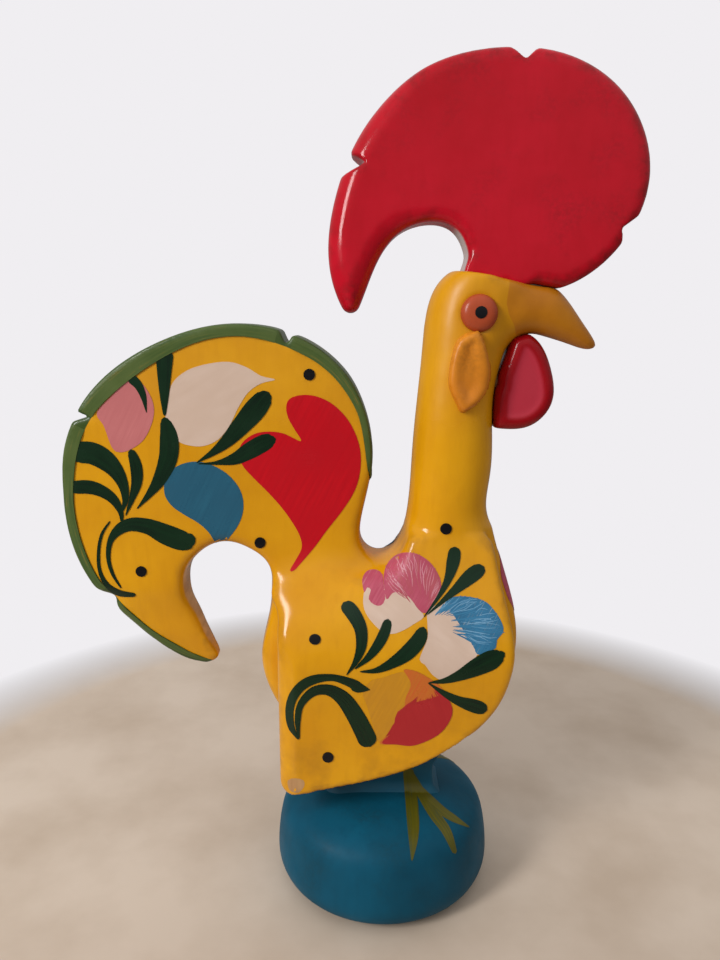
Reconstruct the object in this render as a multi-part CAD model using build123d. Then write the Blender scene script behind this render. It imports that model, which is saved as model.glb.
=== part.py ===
from build123d import *
import os
from math import atan2, degrees

# Painted wooden rooster ornament, glued up from sawn boards and carved cheeks on a turned base.
# Frame: millimetres, +Z up, +X towards the beak, origin at the middle of the base's resting face.
# The bird is drawn with zero height at the top of the base, then lifted onto it.

# Base, a turned foot that narrows a little towards its rounded top edge
BASE_DIAMETER = 82.8
BASE_HEIGHT = 31.5
BASE_FOOT_DIAMETER = 58.0
BASE_WIDEST_HEIGHT = 9.5
BASE_SHOULDER_DIAMETER = 77.0
BASE_SHOULDER_HEIGHT = 26.0
BASE_TOP_DIAMETER = 64.0
BIRD_OFFSET = 0.9

# Boards and widths of the bird
BOARD_THICKNESS = 17.0
BODY_WIDTH = 53.0
NECK_ROOT_WIDTH = 29.0
NECK_WIDTH = 28.0
HEAD_WIDTH = 28.5
BROW_WIDTH = 28.0
CROWN_WIDTH = 26.0
WATTLE_THICKNESS = 16.0
TAIL_EDGE_ROUND = 2.2
COMB_EDGE_ROUND = 3.2
CORE_EDGE_ROUND = 5.0
WING_EDGE_ROUND = 2.5
WATTLE_EDGE_ROUND = 4.0

# Saw notches in the rims of the tail and comb
NOTCH_DEPTH = 4.0
NOTCH_WIDTH = 3.4
TAIL_NOTCH_PLACES = (0.322, 0.619, 0.865)
COMB_NOTCH_PLACES = (0.125, 0.480, 0.789)

# Dowels and their holes
BASE_DOWEL_DIAMETER = 8.0
BASE_DOWEL_LENGTH = 34.0
BASE_DOWEL_SPACING = 22.0
TAIL_DOWEL_DIAMETER = 6.0
TAIL_DOWEL_LENGTH = 24.0
TAIL_DOWEL_SPACING = 18.0
COMB_DOWEL_DIAMETER = 5.0
COMB_DOWEL_LENGTH = 16.0
COMB_DOWEL_SPACING = 9.0
BEAK_DOWEL_DIAMETER = 6.0
BEAK_DOWEL_LENGTH = 18.0
BEAK_DOWEL_HEIGHT = 182.5
WATTLE_DOWEL_DIAMETER = 5.0
WATTLE_DOWEL_LENGTH = 14.0
WATTLE_DOWEL_DROP = 18.0
DOWEL_CLEARANCE = 0.1
DOWEL_END_GAP = 0.5

# Eyes and earlobes
EYE_DIAMETER = 12.4
EYE_PROUD = 2.6
EYE_SEAT_DEPTH = 2.0
EYE_PEG_DIAMETER = 4.0
EYE_PEG_LENGTH = 7.0
EYE_PLACE = (29.9, 185.7)
LOBE_PROUD = 2.4
LOBE_TOP = (28.9, 179.0)
LOBE_TIP = (25.1, 152.3)
LOBE_WIDTH = 13.6
LOBE_EDGE_ROUND = 1.6
LOBE_ROOT_DEPTH = 5.0

# Side view of the bird, as (x, height above the base)
LEG_REAR = (-22.0, 0.0)
LEG_FRONT = (20.0, 0.0)
TAIL_SEAT_LOW = (-42.8, 86.0)
TAIL_SEAT_HIGH = (-5.0, 98.8)
NECK_ROOT_HEIGHT = 110.0
BELLY_REAR = [(-33.0, 27.0), (-44.3, 46.0), (-47.0, 60.0), (-43.8, 76.5)]
NAPE_ROOT = [(0.5, 98.4), (4.4, 102.0)]
NECK_ROOT_REAR = (6.8, NECK_ROOT_HEIGHT)
NECK_ROOT_FRONT = (38.6, NECK_ROOT_HEIGHT)
BREAST = [(45.3, 87.5), (49.4, 64.0), (44.0, 44.0), (32.5, 24.0)]

# Wing outline, and how the flank draws in to the neck and to the tail's root
WING_REAR_X = -39.2
WING_BOTTOM_HEIGHT = 13.6
WING_TOP_HEIGHT = 89.0
WING_CORNER_ROUND = 4.0
WING_NAPE = [(5.4, 103.0), (1.4, 96.6)]
WING_SADDLE = (-5.0, 94.6)
WING_BOTTOM = [(-20.5, 16.0), (11.8, 25.4), (32.9, 40.4)]
WING_BREAST = (44.5, 64.0)
WING_FRONT = [(42.3, 84.0)]
WING_OVERRUN = 4.0
WING_BLOCK_TOP = NECK_ROOT_HEIGHT + WING_OVERRUN
WING_TOP_FRONT = (37.0, WING_BLOCK_TOP)
WING_TOP_REAR = (7.0, WING_BLOCK_TOP)
FLANK_TOP = 64.0
SADDLE_HEIGHT = 84.0
SADDLE_REAR_X = -44.0
SADDLE_FRONT_X = 54.0
SADDLE_WIDTH = 57.0
SADDLE_ROUND = 20.0

TAIL_RIM = [
    (-9.0, 102.6), (-9.7, 110.0), (-5.5, 131.5), (-9.0, 154.6), (-23.5, 172.8), (-50.6, 181.4),
    (-78.2, 175.6), (-107.3, 153.0), (-116.0, 122.8), (-110.6, 93.4), (-93.4, 72.5), (-77.9, 61.4),
]
TAIL_TIP_OUTER = (-70.2, 58.2)
TAIL_TIP_INNER = (-62.6, 63.0)
TAIL_ARCH = [(-71.0, 76.4), (-74.5, 88.5), (-68.8, 99.5), (-58.8, 104.4), (-48.8, 100.8)]

COMB_SEAT_REAR = (27.2, 199.2)
COMB_SEAT_FRONT = (58.5, 194.1)
COMB_RIM = [
    (80.1, 211.0), (86.2, 228.5), (76.7, 254.5), (55.3, 267.3), (36.1, 269.0),
    (11.6, 263.2), (-9.0, 244.6), (-18.1, 223.7), (-20.6, 206.4),
]
COMB_TIP_OUTER = (-15.9, 187.6)
COMB_TIP_INNER = (-10.0, 187.8)
COMB_ARCH = [(-5.1, 200.1), (2.6, 211.6), (13.0, 215.8), (22.8, 213.3), (26.6, 206.5)]

# Wattle, as steps from the top of its root
WATTLE_ROOT = (44.0, 180.0)
WATTLE_RIM = [(6.6, -2.2), (13.2, -13.6), (13.8, -25.6), (6.3, -33.4), (-2.0, -34.4)]
WATTLE_ROOT_END = (-11.0, -33.4)
NECK_FRONT_X = 37.6

# Level sections of the neck and head as (height, rear x, front x, width, corner radius)
NECK_SECTIONS = [
    (NECK_ROOT_HEIGHT, NECK_ROOT_REAR[0], NECK_ROOT_FRONT[0], NECK_ROOT_WIDTH, 14.0),
    (126.0, 8.6, 37.4, NECK_WIDTH, 13.9),
    (154.0, 10.6, NECK_FRONT_X, NECK_WIDTH, 13.2),
    (172.0, 12.2, 41.0, HEAD_WIDTH, 13.6),
    (186.0, 13.6, 47.0, HEAD_WIDTH, 13.6),
    (194.0, 16.2, 50.0, BROW_WIDTH, 13.0),
    (203.0, 31.0, 53.0, CROWN_WIDTH, 10.0),
]

# Beak sections as (x, lower height, upper height, width)
BEAK_ROOT_X = 43.5
BEAK_SECTIONS = [
    (BEAK_ROOT_X, 177.0, 198.0, 25.0),
    (52.0, 178.6, 196.6, 21.0),
    (59.2, 176.8, 193.4, 16.5),
    (65.5, 174.7, 186.2, 11.5),
    (71.0, 173.4, 179.0, 6.4),
]
BEAK_TIP = (74.0, 174.7)
BEAK_ROUNDING = 0.44

SIDE = Plane.XZ
CUT_REACH = 400.0
SEAT_TOLERANCE = 0.5


def on_side(point, y=0.0):
    """A side-view point as a point in space."""
    return Vector(point[0], y, point[1])


def board(edges, thickness):
    """A board centred on the side view's plane, sawn to a closed outline."""
    face = make_face(edges)
    return extrude(SIDE * face, amount=thickness / 2, both=True)


def face_edges(piece):
    """The edges round the two flat faces of a board."""
    edges = ShapeList()
    for face in piece.faces().filter_by(Axis.Y):
        edges.extend(face.edges())
    return edges


def rim_edges(piece, seat_start, seat_end):
    """The edges round a board's flat faces, apart from those along its glued seat."""
    middle = (on_side(seat_start) + on_side(seat_end)) * 0.5
    kept = ShapeList()
    for edge in face_edges(piece):
        centre = edge.center()
        at_seat = Vector(centre.X, 0, centre.Z)
        if (at_seat - middle).length > SEAT_TOLERANCE:
            kept.append(edge)
    return kept


def hooked_end(rim, inner):
    """The round nose at the end of a rim and the smooth inner side of its hook."""
    nose = TangentArc(rim.position_at(1), inner[0], tangent=rim.tangent_at(1))
    free = Spline(*inner)
    arch = Spline(*inner, tangents=[nose.tangent_at(1), free.tangent_at(1)])
    return nose, arch


def notch(rim, place):
    """A wedge that opens outwards across the rim of a board."""
    here = rim.position_at(place)
    along = rim.tangent_at(place)
    inward = Vector(-along.Y, along.X)
    mouth = NOTCH_WIDTH / 2
    left = here - inward * NOTCH_DEPTH - along * 2 * mouth
    right = here - inward * NOTCH_DEPTH + along * 2 * mouth
    bottom = here + inward * NOTCH_DEPTH
    wedge = make_face(Polyline(left, bottom, right, close=True))
    return extrude(SIDE * wedge, amount=CUT_REACH / 2, both=True)


def seat_planes(start, end, spacing):
    """Two planes on a slanted seat, square to it, for a pair of dowels."""
    low = on_side(start)
    high = on_side(end)
    middle = (low + high) * 0.5
    along = (high - low).normalized()
    normal = Vector(-along.Z, 0, along.X)
    return [Plane(middle + along * step, z_dir=normal) for step in (-spacing / 2, spacing / 2)]


def dowels(planes, diameter, length):
    """Dowels that cross each plane half and half."""
    return [plane * Cylinder(diameter / 2, length) for plane in planes]


def dowel_holes(planes, diameter, length):
    """The holes for such dowels, with their clearance."""
    return [
        plane * Cylinder(diameter / 2 + DOWEL_CLEARANCE, length + 2 * DOWEL_END_GAP) for plane in planes
    ]


def section(height, rear, front, width, corner):
    """One level section of the body or the neck."""
    shape = RectangleRounded(front - rear, width, min(corner, width / 2 - 0.1, (front - rear) / 2 - 0.1))
    return Pos((rear + front) / 2, 0, height) * shape


def comb_seat_at(x):
    """The point of the comb's sloping seat at a given x."""
    rear = Vector(*COMB_SEAT_REAR)
    front = Vector(*COMB_SEAT_FRONT)
    share = (x - rear.X) / (front.X - rear.X)
    point = rear + (front - rear) * share
    return point.X, point.Y


TAIL_JOINT = seat_planes(TAIL_SEAT_LOW, TAIL_SEAT_HIGH, TAIL_DOWEL_SPACING)
COMB_JOINT = seat_planes(COMB_SEAT_REAR, comb_seat_at(BEAK_ROOT_X), COMB_DOWEL_SPACING)
BASE_JOINT = seat_planes(LEG_REAR, LEG_FRONT, BASE_DOWEL_SPACING)
BEAK_JOINT = [Plane((BEAK_ROOT_X, 0, BEAK_DOWEL_HEIGHT), z_dir=(1, 0, 0))]
WATTLE_JOINT = [Plane((NECK_FRONT_X, 0, WATTLE_ROOT[1] - WATTLE_DOWEL_DROP), z_dir=(1, 0, 0))]

BASE_DOWEL = (BASE_JOINT, BASE_DOWEL_DIAMETER, BASE_DOWEL_LENGTH)
TAIL_DOWEL = (TAIL_JOINT, TAIL_DOWEL_DIAMETER, TAIL_DOWEL_LENGTH)
COMB_DOWEL = (COMB_JOINT, COMB_DOWEL_DIAMETER, COMB_DOWEL_LENGTH)
BEAK_DOWEL = (BEAK_JOINT, BEAK_DOWEL_DIAMETER, BEAK_DOWEL_LENGTH)
WATTLE_DOWEL = (WATTLE_JOINT, WATTLE_DOWEL_DIAMETER, WATTLE_DOWEL_LENGTH)


def make_base():
    """Turned foot: rounded lower edge, sides that narrow upwards, and a rounded top edge."""
    foot = (BASE_FOOT_DIAMETER / 2, -BASE_HEIGHT)
    widest = (BASE_DIAMETER / 2, BASE_WIDEST_HEIGHT - BASE_HEIGHT)
    shoulder = (BASE_SHOULDER_DIAMETER / 2, BASE_SHOULDER_HEIGHT - BASE_HEIGHT)
    top = (BASE_TOP_DIAMETER / 2, 0)
    profile = [
        Spline(foot, widest, shoulder, top, tangents=[(1, 0.15), (-1, 0.1)]),
        Polyline(top, (0, 0), (0, -BASE_HEIGHT), foot),
    ]
    turned = revolve(SIDE * make_face(profile), Axis.Z)
    return Pos(-BIRD_OFFSET, 0, 0) * turned - dowel_holes(*BASE_DOWEL)


def make_core():
    """Middle board of leg, belly and breast, carried up into the round neck and head."""
    outline = [
        Spline(LEG_REAR, *BELLY_REAR, TAIL_SEAT_LOW),
        Line(TAIL_SEAT_LOW, TAIL_SEAT_HIGH),
        Spline(TAIL_SEAT_HIGH, *NAPE_ROOT, NECK_ROOT_REAR),
        Line(NECK_ROOT_REAR, NECK_ROOT_FRONT),
        Spline(NECK_ROOT_FRONT, *BREAST, LEG_FRONT),
        Line(LEG_FRONT, LEG_REAR),
    ]
    lower = board(outline, BOARD_THICKNESS)
    long_edges = ShapeList(
        edge for edge in face_edges(lower)
        if edge.geom_type == GeomType.BSPLINE and edge.center().Z < TAIL_SEAT_LOW[1]
    )
    lower = fillet(long_edges, CORE_EDGE_ROUND)
    neck = loft([section(*row) for row in NECK_SECTIONS])
    neck -= comb_side()
    neck -= Pos(BEAK_ROOT_X + CUT_REACH / 2, 0, 0) * Box(CUT_REACH, CUT_REACH, CUT_REACH * 2)
    return lower + neck


def comb_side():
    """Everything above the sloping plane on which the comb is seated."""
    rear = on_side(COMB_SEAT_REAR)
    front = on_side(COMB_SEAT_FRONT)
    slope = degrees(atan2(front.Z - rear.Z, front.X - rear.X))
    block = Box(CUT_REACH, CUT_REACH, CUT_REACH, align=(Align.CENTER, Align.CENTER, Align.MIN))
    return Pos(rear) * Rot(0, -slope, 0) * block


def wing_side():
    """Side outline of a wing, with a rounded rear corner and a sweeping lower edge."""
    corner_side = (WING_REAR_X, WING_BOTTOM_HEIGHT + WING_CORNER_ROUND)
    corner_foot = (WING_REAR_X + WING_CORNER_ROUND, WING_BOTTOM_HEIGHT)
    top_rear = (WING_REAR_X, WING_TOP_HEIGHT)
    outline = [
        Line(top_rear, corner_side),
        TangentArc(corner_side, corner_foot, tangent=(0, -1)),
        Spline(corner_foot, *WING_BOTTOM, WING_BREAST, tangents=[(1, 0.05), (0.16, 1)]),
        Spline(WING_BREAST, *WING_FRONT, WING_TOP_FRONT, tangents=[(0.16, 1), (-0.08, 1)]),
        Line(WING_TOP_FRONT, WING_TOP_REAR),
        Spline(WING_TOP_REAR, *WING_NAPE, WING_SADDLE),
        Line(WING_SADDLE, top_rear),
    ]
    return extrude(SIDE * make_face(outline), amount=CUT_REACH)


def wing_front():
    """Front view of a wing: an upright flank that draws in to the width of the neck."""
    flank = -BODY_WIDTH / 2
    neck = -NECK_ROOT_WIDTH / 2
    inner = -BOARD_THICKNESS / 2
    outline = [
        Spline((flank, FLANK_TOP), (neck, WING_BLOCK_TOP), tangents=[(0, 1), (0, 1)]),
        Polyline((neck, WING_BLOCK_TOP), (inner, WING_BLOCK_TOP), (inner, 0), (flank, 0), (flank, FLANK_TOP)),
    ]
    view = Plane((-CUT_REACH / 2, 0, 0), x_dir=(0, 1, 0), z_dir=(1, 0, 0))
    return extrude(view * make_face(outline), amount=CUT_REACH)


def wing_saddle():
    """Slope from the round neck down to the flanks and the tail's root."""
    neck = section(*NECK_SECTIONS[0])
    flanks = [
        section(height, SADDLE_REAR_X, SADDLE_FRONT_X, SADDLE_WIDTH, SADDLE_ROUND) for height in (0, SADDLE_HEIGHT)
    ]
    return loft([*flanks, neck], ruled=True)


def make_wing():
    """Carved cheek of the right side, flat on the flank and drawn in to the neck and the tail's root."""
    wing = wing_side() & wing_front()
    inner = -BOARD_THICKNESS / 2 - WING_EDGE_ROUND
    arrises = ShapeList()
    for edge in wing.edges():
        centre = edge.center()
        upright = abs(edge.tangent_at(0.5).Y) < 0.75
        at_rear = abs(centre.X - WING_REAR_X) < 0.1
        at_bottom = centre.Z < FLANK_TOP - 0.1
        at_front = centre.X > WING_TOP_FRONT[0]
        if upright and centre.Y < inner and (at_rear or at_bottom or at_front):
            arrises.append(edge)
    return fillet(arrises, WING_EDGE_ROUND) & wing_saddle()


def make_tail():
    """Sickle tail with sawn notches in its rim and a hooked tip."""
    rim = Spline(TAIL_SEAT_HIGH, *TAIL_RIM, TAIL_TIP_OUTER)
    hook = hooked_end(rim, [TAIL_TIP_INNER, *TAIL_ARCH, TAIL_SEAT_LOW])
    tail = board([rim, *hook, Line(TAIL_SEAT_LOW, TAIL_SEAT_HIGH)], BOARD_THICKNESS)
    tail = fillet(rim_edges(tail, TAIL_SEAT_LOW, TAIL_SEAT_HIGH), TAIL_EDGE_ROUND)
    tail -= [notch(rim, place) for place in TAIL_NOTCH_PLACES]
    return tail - dowel_holes(*TAIL_DOWEL)


def make_comb():
    """Comb with a rounded edge, sawn notches and a hooked rear lobe."""
    rim = Spline(COMB_SEAT_FRONT, *COMB_RIM, COMB_TIP_OUTER)
    hook = hooked_end(rim, [COMB_TIP_INNER, *COMB_ARCH, COMB_SEAT_REAR])
    comb = board([rim, *hook, Line(COMB_SEAT_REAR, COMB_SEAT_FRONT)], BOARD_THICKNESS)
    comb = fillet(rim_edges(comb, COMB_SEAT_REAR, COMB_SEAT_FRONT), COMB_EDGE_ROUND)
    comb -= [notch(rim, place) for place in COMB_NOTCH_PLACES]
    return comb - dowel_holes(*COMB_DOWEL)


def make_beak():
    """Blunt cone that starts at the flat front of the head."""
    stages = []
    for x, low, high, width in BEAK_SECTIONS:
        height = high - low
        shape = RectangleRounded(width, height, min(width, height) * BEAK_ROUNDING)
        stages.append(Plane((x, 0, (low + high) / 2), x_dir=(0, 1, 0), z_dir=(1, 0, 0)) * shape)
    cone = loft([*stages, Vertex(BEAK_TIP[0], 0, BEAK_TIP[1])])
    return cone - comb_side()


def make_wattle(core, beak):
    """Rounded tongue, coped to the undrilled throat and beak."""
    root = Vector(*WATTLE_ROOT)
    rim = [root + Vector(*step) for step in WATTLE_RIM]
    root_end = root + Vector(*WATTLE_ROOT_END)
    outline = [Line(root_end, root), Spline(root, *rim, root_end)]
    wattle = board(outline, WATTLE_THICKNESS)
    wattle = fillet(face_edges(wattle), WATTLE_EDGE_ROUND)
    return wattle - core - beak - dowel_holes(*WATTLE_DOWEL)


def eye_plane():
    """The plane of the right eye's rim, with its normal out of the head."""
    return Plane(on_side(EYE_PLACE, -HEAD_WIDTH / 2), x_dir=(1, 0, 0), z_dir=(0, -1, 0))


def make_eye():
    """Domed button with a peg on its back."""
    radius = EYE_DIAMETER / 2
    profile = [
        Line((0, -EYE_SEAT_DEPTH), (radius, -EYE_SEAT_DEPTH)),
        Line((radius, -EYE_SEAT_DEPTH), (radius, 0)),
        Spline((radius, 0), (0, EYE_PROUD), tangents=[(-0.2, 1), (-1, 0)]),
        Line((0, EYE_PROUD), (0, -EYE_SEAT_DEPTH)),
    ]
    button = revolve(SIDE * make_face(profile), Axis.Z)
    peg = Pos(0, 0, -EYE_SEAT_DEPTH) * Cylinder(
        EYE_PEG_DIAMETER / 2, EYE_PEG_LENGTH, align=(Align.CENTER, Align.CENTER, Align.MAX)
    )
    return eye_plane() * (button + peg)


def eye_recess():
    """The spot-faced hole in the head that takes an eye."""
    seat = Pos(0, 0, -EYE_SEAT_DEPTH) * Cylinder(
        EYE_DIAMETER / 2 + DOWEL_CLEARANCE, CUT_REACH, align=(Align.CENTER, Align.CENTER, Align.MIN)
    )
    hole = Pos(0, 0, -EYE_SEAT_DEPTH) * Cylinder(
        EYE_PEG_DIAMETER / 2 + DOWEL_CLEARANCE,
        EYE_PEG_LENGTH + DOWEL_END_GAP,
        align=(Align.CENTER, Align.CENTER, Align.MAX),
    )
    return eye_plane() * (seat + hole)


def make_lobe(core, eye):
    """Leaf-shaped earlobe, coped to the round of the neck."""
    top = Vector(*LOBE_TOP)
    tip = Vector(*LOBE_TIP)
    along = (tip - top).normalized()
    across = Vector(-along.Y, along.X) * (LOBE_WIDTH / 2)
    middle = top + (tip - top) * 0.52
    outline = [
        Spline(top, middle + across, tip, tangents=[across, along * 3 - across * 0.3]),
        Spline(tip, middle - across, top, tangents=[along * -3 - across * 0.3, across]),
    ]
    outer = -NECK_WIDTH / 2 - LOBE_PROUD
    leaf = SIDE * make_face(outline)
    lobe = extrude(leaf.moved(Location((0, outer, 0))), amount=-LOBE_PROUD - LOBE_ROOT_DEPTH)
    lobe = fillet(lobe.faces().sort_by(Axis.Y)[0].edges(), LOBE_EDGE_ROUND)
    return lobe - core - eye


def both_sides(piece):
    """A piece of the bird's right side and its mirror image on the left."""
    return piece, mirror(piece, Plane.XZ)


def make_rooster():
    """Every piece by name, with zero height at the top of the base."""
    core = make_core()
    beak = make_beak()
    eye_right, eye_left = both_sides(make_eye())
    wing_right, wing_left = both_sides(make_wing())
    wattle = make_wattle(core, beak)
    core -= list(both_sides(eye_recess()))
    lobe_right, lobe_left = both_sides(make_lobe(core, eye_right))
    for dowel in (BASE_DOWEL, TAIL_DOWEL, COMB_DOWEL, BEAK_DOWEL, WATTLE_DOWEL):
        core -= dowel_holes(*dowel)
    return {
        "base": make_base(),
        "body_core": core,
        "wing_right": wing_right,
        "wing_left": wing_left,
        "tail": make_tail(),
        "comb": make_comb(),
        "beak": beak - dowel_holes(*BEAK_DOWEL),
        "wattle": wattle,
        "eye_right": eye_right,
        "eye_left": eye_left,
        "earlobe_right": lobe_right,
        "earlobe_left": lobe_left,
        "base_dowels": Compound(dowels(*BASE_DOWEL)),
        "tail_dowels": Compound(dowels(*TAIL_DOWEL)),
        "comb_dowels": Compound(dowels(*COMB_DOWEL)),
        "beak_dowel": Compound(dowels(*BEAK_DOWEL)),
        "wattle_dowel": Compound(dowels(*WATTLE_DOWEL)),
    }


os.makedirs("parts", exist_ok=True)
for name, piece in make_rooster().items():
    export_step(piece.moved(Location((BIRD_OFFSET, 0, BASE_HEIGHT))), f"parts/{name}.step")
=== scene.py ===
import math

import bpy
import numpy as np
import openvdb
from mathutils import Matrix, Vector
from mathutils.bvhtree import BVHTree
from mathutils.geometry import delaunay_2d_cdt


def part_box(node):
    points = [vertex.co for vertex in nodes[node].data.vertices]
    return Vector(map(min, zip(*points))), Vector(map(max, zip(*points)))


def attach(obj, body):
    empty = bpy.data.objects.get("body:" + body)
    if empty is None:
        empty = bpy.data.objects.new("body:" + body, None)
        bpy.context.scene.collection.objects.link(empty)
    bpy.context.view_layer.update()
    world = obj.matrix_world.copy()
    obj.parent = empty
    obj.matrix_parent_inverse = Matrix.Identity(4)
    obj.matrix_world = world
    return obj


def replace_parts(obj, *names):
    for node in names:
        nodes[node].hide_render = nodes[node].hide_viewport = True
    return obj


# Painted wooden rooster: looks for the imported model, all lengths in millimetres until a mesh is written
MM = 0.001
RIGHT = -1
LEFT = 1

# Carved skin over the glued boards
VOXEL = 0.75
REACH = 10.5
HOLE_FILL = 4.3
LEG_FLARE = 3.5
LEG_SINK = 0.1
LEG_TOP = 46.0
SOFT_CARVING = 2.0
SOFT_EDGE = 0.6
SOFT_COMB = 0.5
SOFT_HEAD = 1.8
EDGE_BLUR = 1.6
OUTSIDE = -5.0
BEAK_COVE = 9.0
BEAK_REAR = (34, 40)
BEAK_FRONT = (60, 52)
BEAK_LOW = (196, 206)
CARVE_WIDTH = 8.0
EDGE_WIDTH = 1.0
CARVE_TAIL = (90, 108)
CARVE_TAIL_END = (172, 152)
CARVE_NECK_END = (146, 132)
CARVE_NECK = (4, 16)
CARVE_BREAST = (38, 28)
AT_BREAST = (24, 34)
WING_MIDDLE = 15.0
WING_INNER = 8.2
WING_ROUND = 1.4
WING_REAR = -36.0
WING_REAR_RISE = (110, 128, 24)
BOARD_HALF = 8.5

# Paint: reflection of a common enamel, and how far its roughness varies
SHINE = 0.3
GLOSS_SPREAD = 0.08

# Comb: rounding of its edges in the plane and through the thickness, fuller on the hook, and its seat: how
# far it is let out there, and the gaps to the head over which it is let out, its edges are crisp and wear ends
COMB_ROUND = (4.5, 3.2)
HOOK_ROUND = (8.3, 6.4)
HOOK_FROM = (14, -6)
COMB_SEAT = 1.6
SEAT_GAP = (7.0, 0.0)
SEAT_CRISP = 0.12
SEAT_FREE = (0.0, 9.0)
SEAT_WEAR = (1.5, 6.0)

# Wattle: half thickness, rounding in the plane and through the thickness, border, dish and its slope
WATTLE_HALF = 8.0
WATTLE_ROUND = (4.4, 3.6)
WATTLE_BORDER = 3.2
WATTLE_DISH = 0.7
WATTLE_SLOPE = 2.4

# Edges moved by the carver, as rows of height and X: front of the leg and inner edge of the tail's tip;
# they lean, so the distance to them is a share of that along X
LEG_FRONT = [(31.5, 20.4), (42, 19.4), (47, 19.6), (52.2, 22.4), (55, 24.9), (58.4, 28.0), (63, 32.8),
             (68, 40.0)]
TIP_INNER = [(85, -59.5), (92.2, -62.8), (95.6, -64.6), (102.3, -67.9), (110, -71.2), (115.3, -73.0),
             (120.5, -73.8), (125, -73.1), (128, -71.4), (131, -68.4), (134, -63.0)]
TIP_FRONT = -61
EDGE_LEAN = 0.85

# Hollow between tail and neck: x, z and radius, and where and how much the drawn-out flanks fade round it
SADDLE = (-1.5, 138.3, 7.2)
SADDLE_END = (23.2, 10.2)
SADDLE_FADE = 0.6

# Tail: middle of its rim and how far that is let out, and its tip, thinned over rows of height and half depth
RIM_MIDDLE = (-58, 152)
RIM_OUT = 0.9
RIM_RADIUS = (42, 48)
RIM_FRONT = (-4, -14)
RIM_HIGH = (140, 155)
RIM_REAR = (-66, -76)
TIP_FROM = (-56, 118)
TIP_LENGTH = 30.0
TIP_DROP = 2.6
TIP_SIDE = 12
TIP_HALF = [(88, 3.0), (94, 4.2), (100, 5.4), (108, 6.4), (118, BOARD_HALF)]

# Paint on the skin: rows of height and X of the beak's edge, and height and slope of the leg's upper edge
BEAK_EDGE = [(190, 46.8), (206, 46.2), (208, 45.4), (213.4, 43.1), (216.8, 40.9), (220.5, 39.9),
             (224.2, 40.3), (229.5, 41.3)]
LEG_PAINT = (61.5, 0.39)

# Bare wood inside the arch of the tail, and bare primer with a painted reflection on the wall inside the
# comb's
# arch: x, z and radius, and how their walls begin, by the surface's direction and by depth
ARCH = (-53.0, 118.0, 27.0)
ARCH_FADE = 3.0
ARCH_WALL = (0.45, 0.25)
ARCH_DEPTH = (8.6, 7.2)
COMB_ARCH = (13.2, 234.9, 24.0)
COMB_ARCH_WALL = (-0.55, -0.8)
COMB_ARCH_DEPTH = (6.2, 4.6)

# Turned base: rows of radius and height, from the middle of its top to the middle of its underside
BASE_PROFILE = [(0, 36.8), (8, 36.8), (16, 36.5), (24, 35.5), (30, 33.8), (34.4, 31.9), (37.3, 29.8),
                (39.3, 26.4), (40.5, 21.2), (41.2, 15.5), (41.4, 10.5), (40.8, 6.8), (39.0, 3.6), (35.6, 1.4),
                (31, 0.3), (28.5, 0), (14, 0), (0, 0)]
BASE_RIM = 8
BASE_SIDES = 96

# Sawn notches: a corner and the two ends of its mouth
COMB_NOTCHES = [
    ((44.1, 296.3), (40.1, 299.9), (47.3, 299.4)),
    ((-6.6, 265.6), (-10.6, 268.0), (-14.2, 262.2)),
    ((78.4, 244.9), (83.9, 248.7), (79.5, 240.9)),
]
TAIL_NOTCHES = [
    ((-34.1, 206.4), (-36.8, 213.0), (-31.0, 211.6)),
    ((-102.2, 181.9), (-106.4, 183.0), (-106.6, 181.0)),
    ((-97.6, 116.0), (-102.6, 116.2), (-100.2, 112.4)),
]

# Painted band of the tail's rim, as rows of x, z and width; its points as shares of the width on each face
# and as depths on the wall; how near a notch it stops, and how it thins towards its ends
TAIL_RIM = [(-4.8, 158.5, 0.4), (-4.6, 163.0, 1.4), (-8.1, 186.1, 2.6), (-22.6, 204.3, 3.6),
            (-49.7, 212.9, 3.3), (-77.3, 207.1, 4.6), (-106.4, 184.5, 4.8), (-115.1, 154.3, 4.2),
            (-109.7, 124.9, 4.0), (-92.7, 103.3, 3.0), (-77.2, 91.4, 2.6), (-70.5, 88.0, 2.2),
            (-66.4, 87.3, 1.2)]
RIM_FACE = (1.0, 0.7, 0.35, 0.14, 0.04)
RIM_WALL = (-8.2, -7.4, -4.0, 0.0, 4.0, 7.4, 8.2)
RIM_CLEAR = 0.4
NOTCH_REACH = 9
RIM_END = 0.08
RIM_SWELL = 0.4
RAY_START = 13

# Cuts that part the carved skin into its boards: outlines over X and Z, and depths
WING_CUT = [(-60, 43), (-28, 43), (-20, 47), (60, 47), (60, 141.5), (-2, 141.5), (-2, 172), (-60, 172)]
TAIL_CUT = [(-52, 114.1), (-1, 131.35), (1.5, 138), (2, 240), (-140, 240), (-140, 60), (-52, 60)]
BEAK_CUT = [(44.4, 195), (120, 195), (120, 260), (44.4, 260)]
CUTS = [
    ("wing_right", "yellow_paint", WING_CUT, -60, -8.6),
    ("wing_left", "yellow_paint", WING_CUT, 8.6, 60),
    ("beak", "ochre_paint", BEAK_CUT, -60, 60),
    ("tail", "yellow_paint", TAIL_CUT, -60, 60),
]

# Coats of paint, and the eye from which their drawing is laid on, where the camera stands: x, depth and z
EYE = (-8.8, 264.0, 212.4)
COAT = 0.14
COAT_ROOT = 0.3
OVER_LEAVES = 0.55
DOT_RADIUS = 2.0

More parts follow.
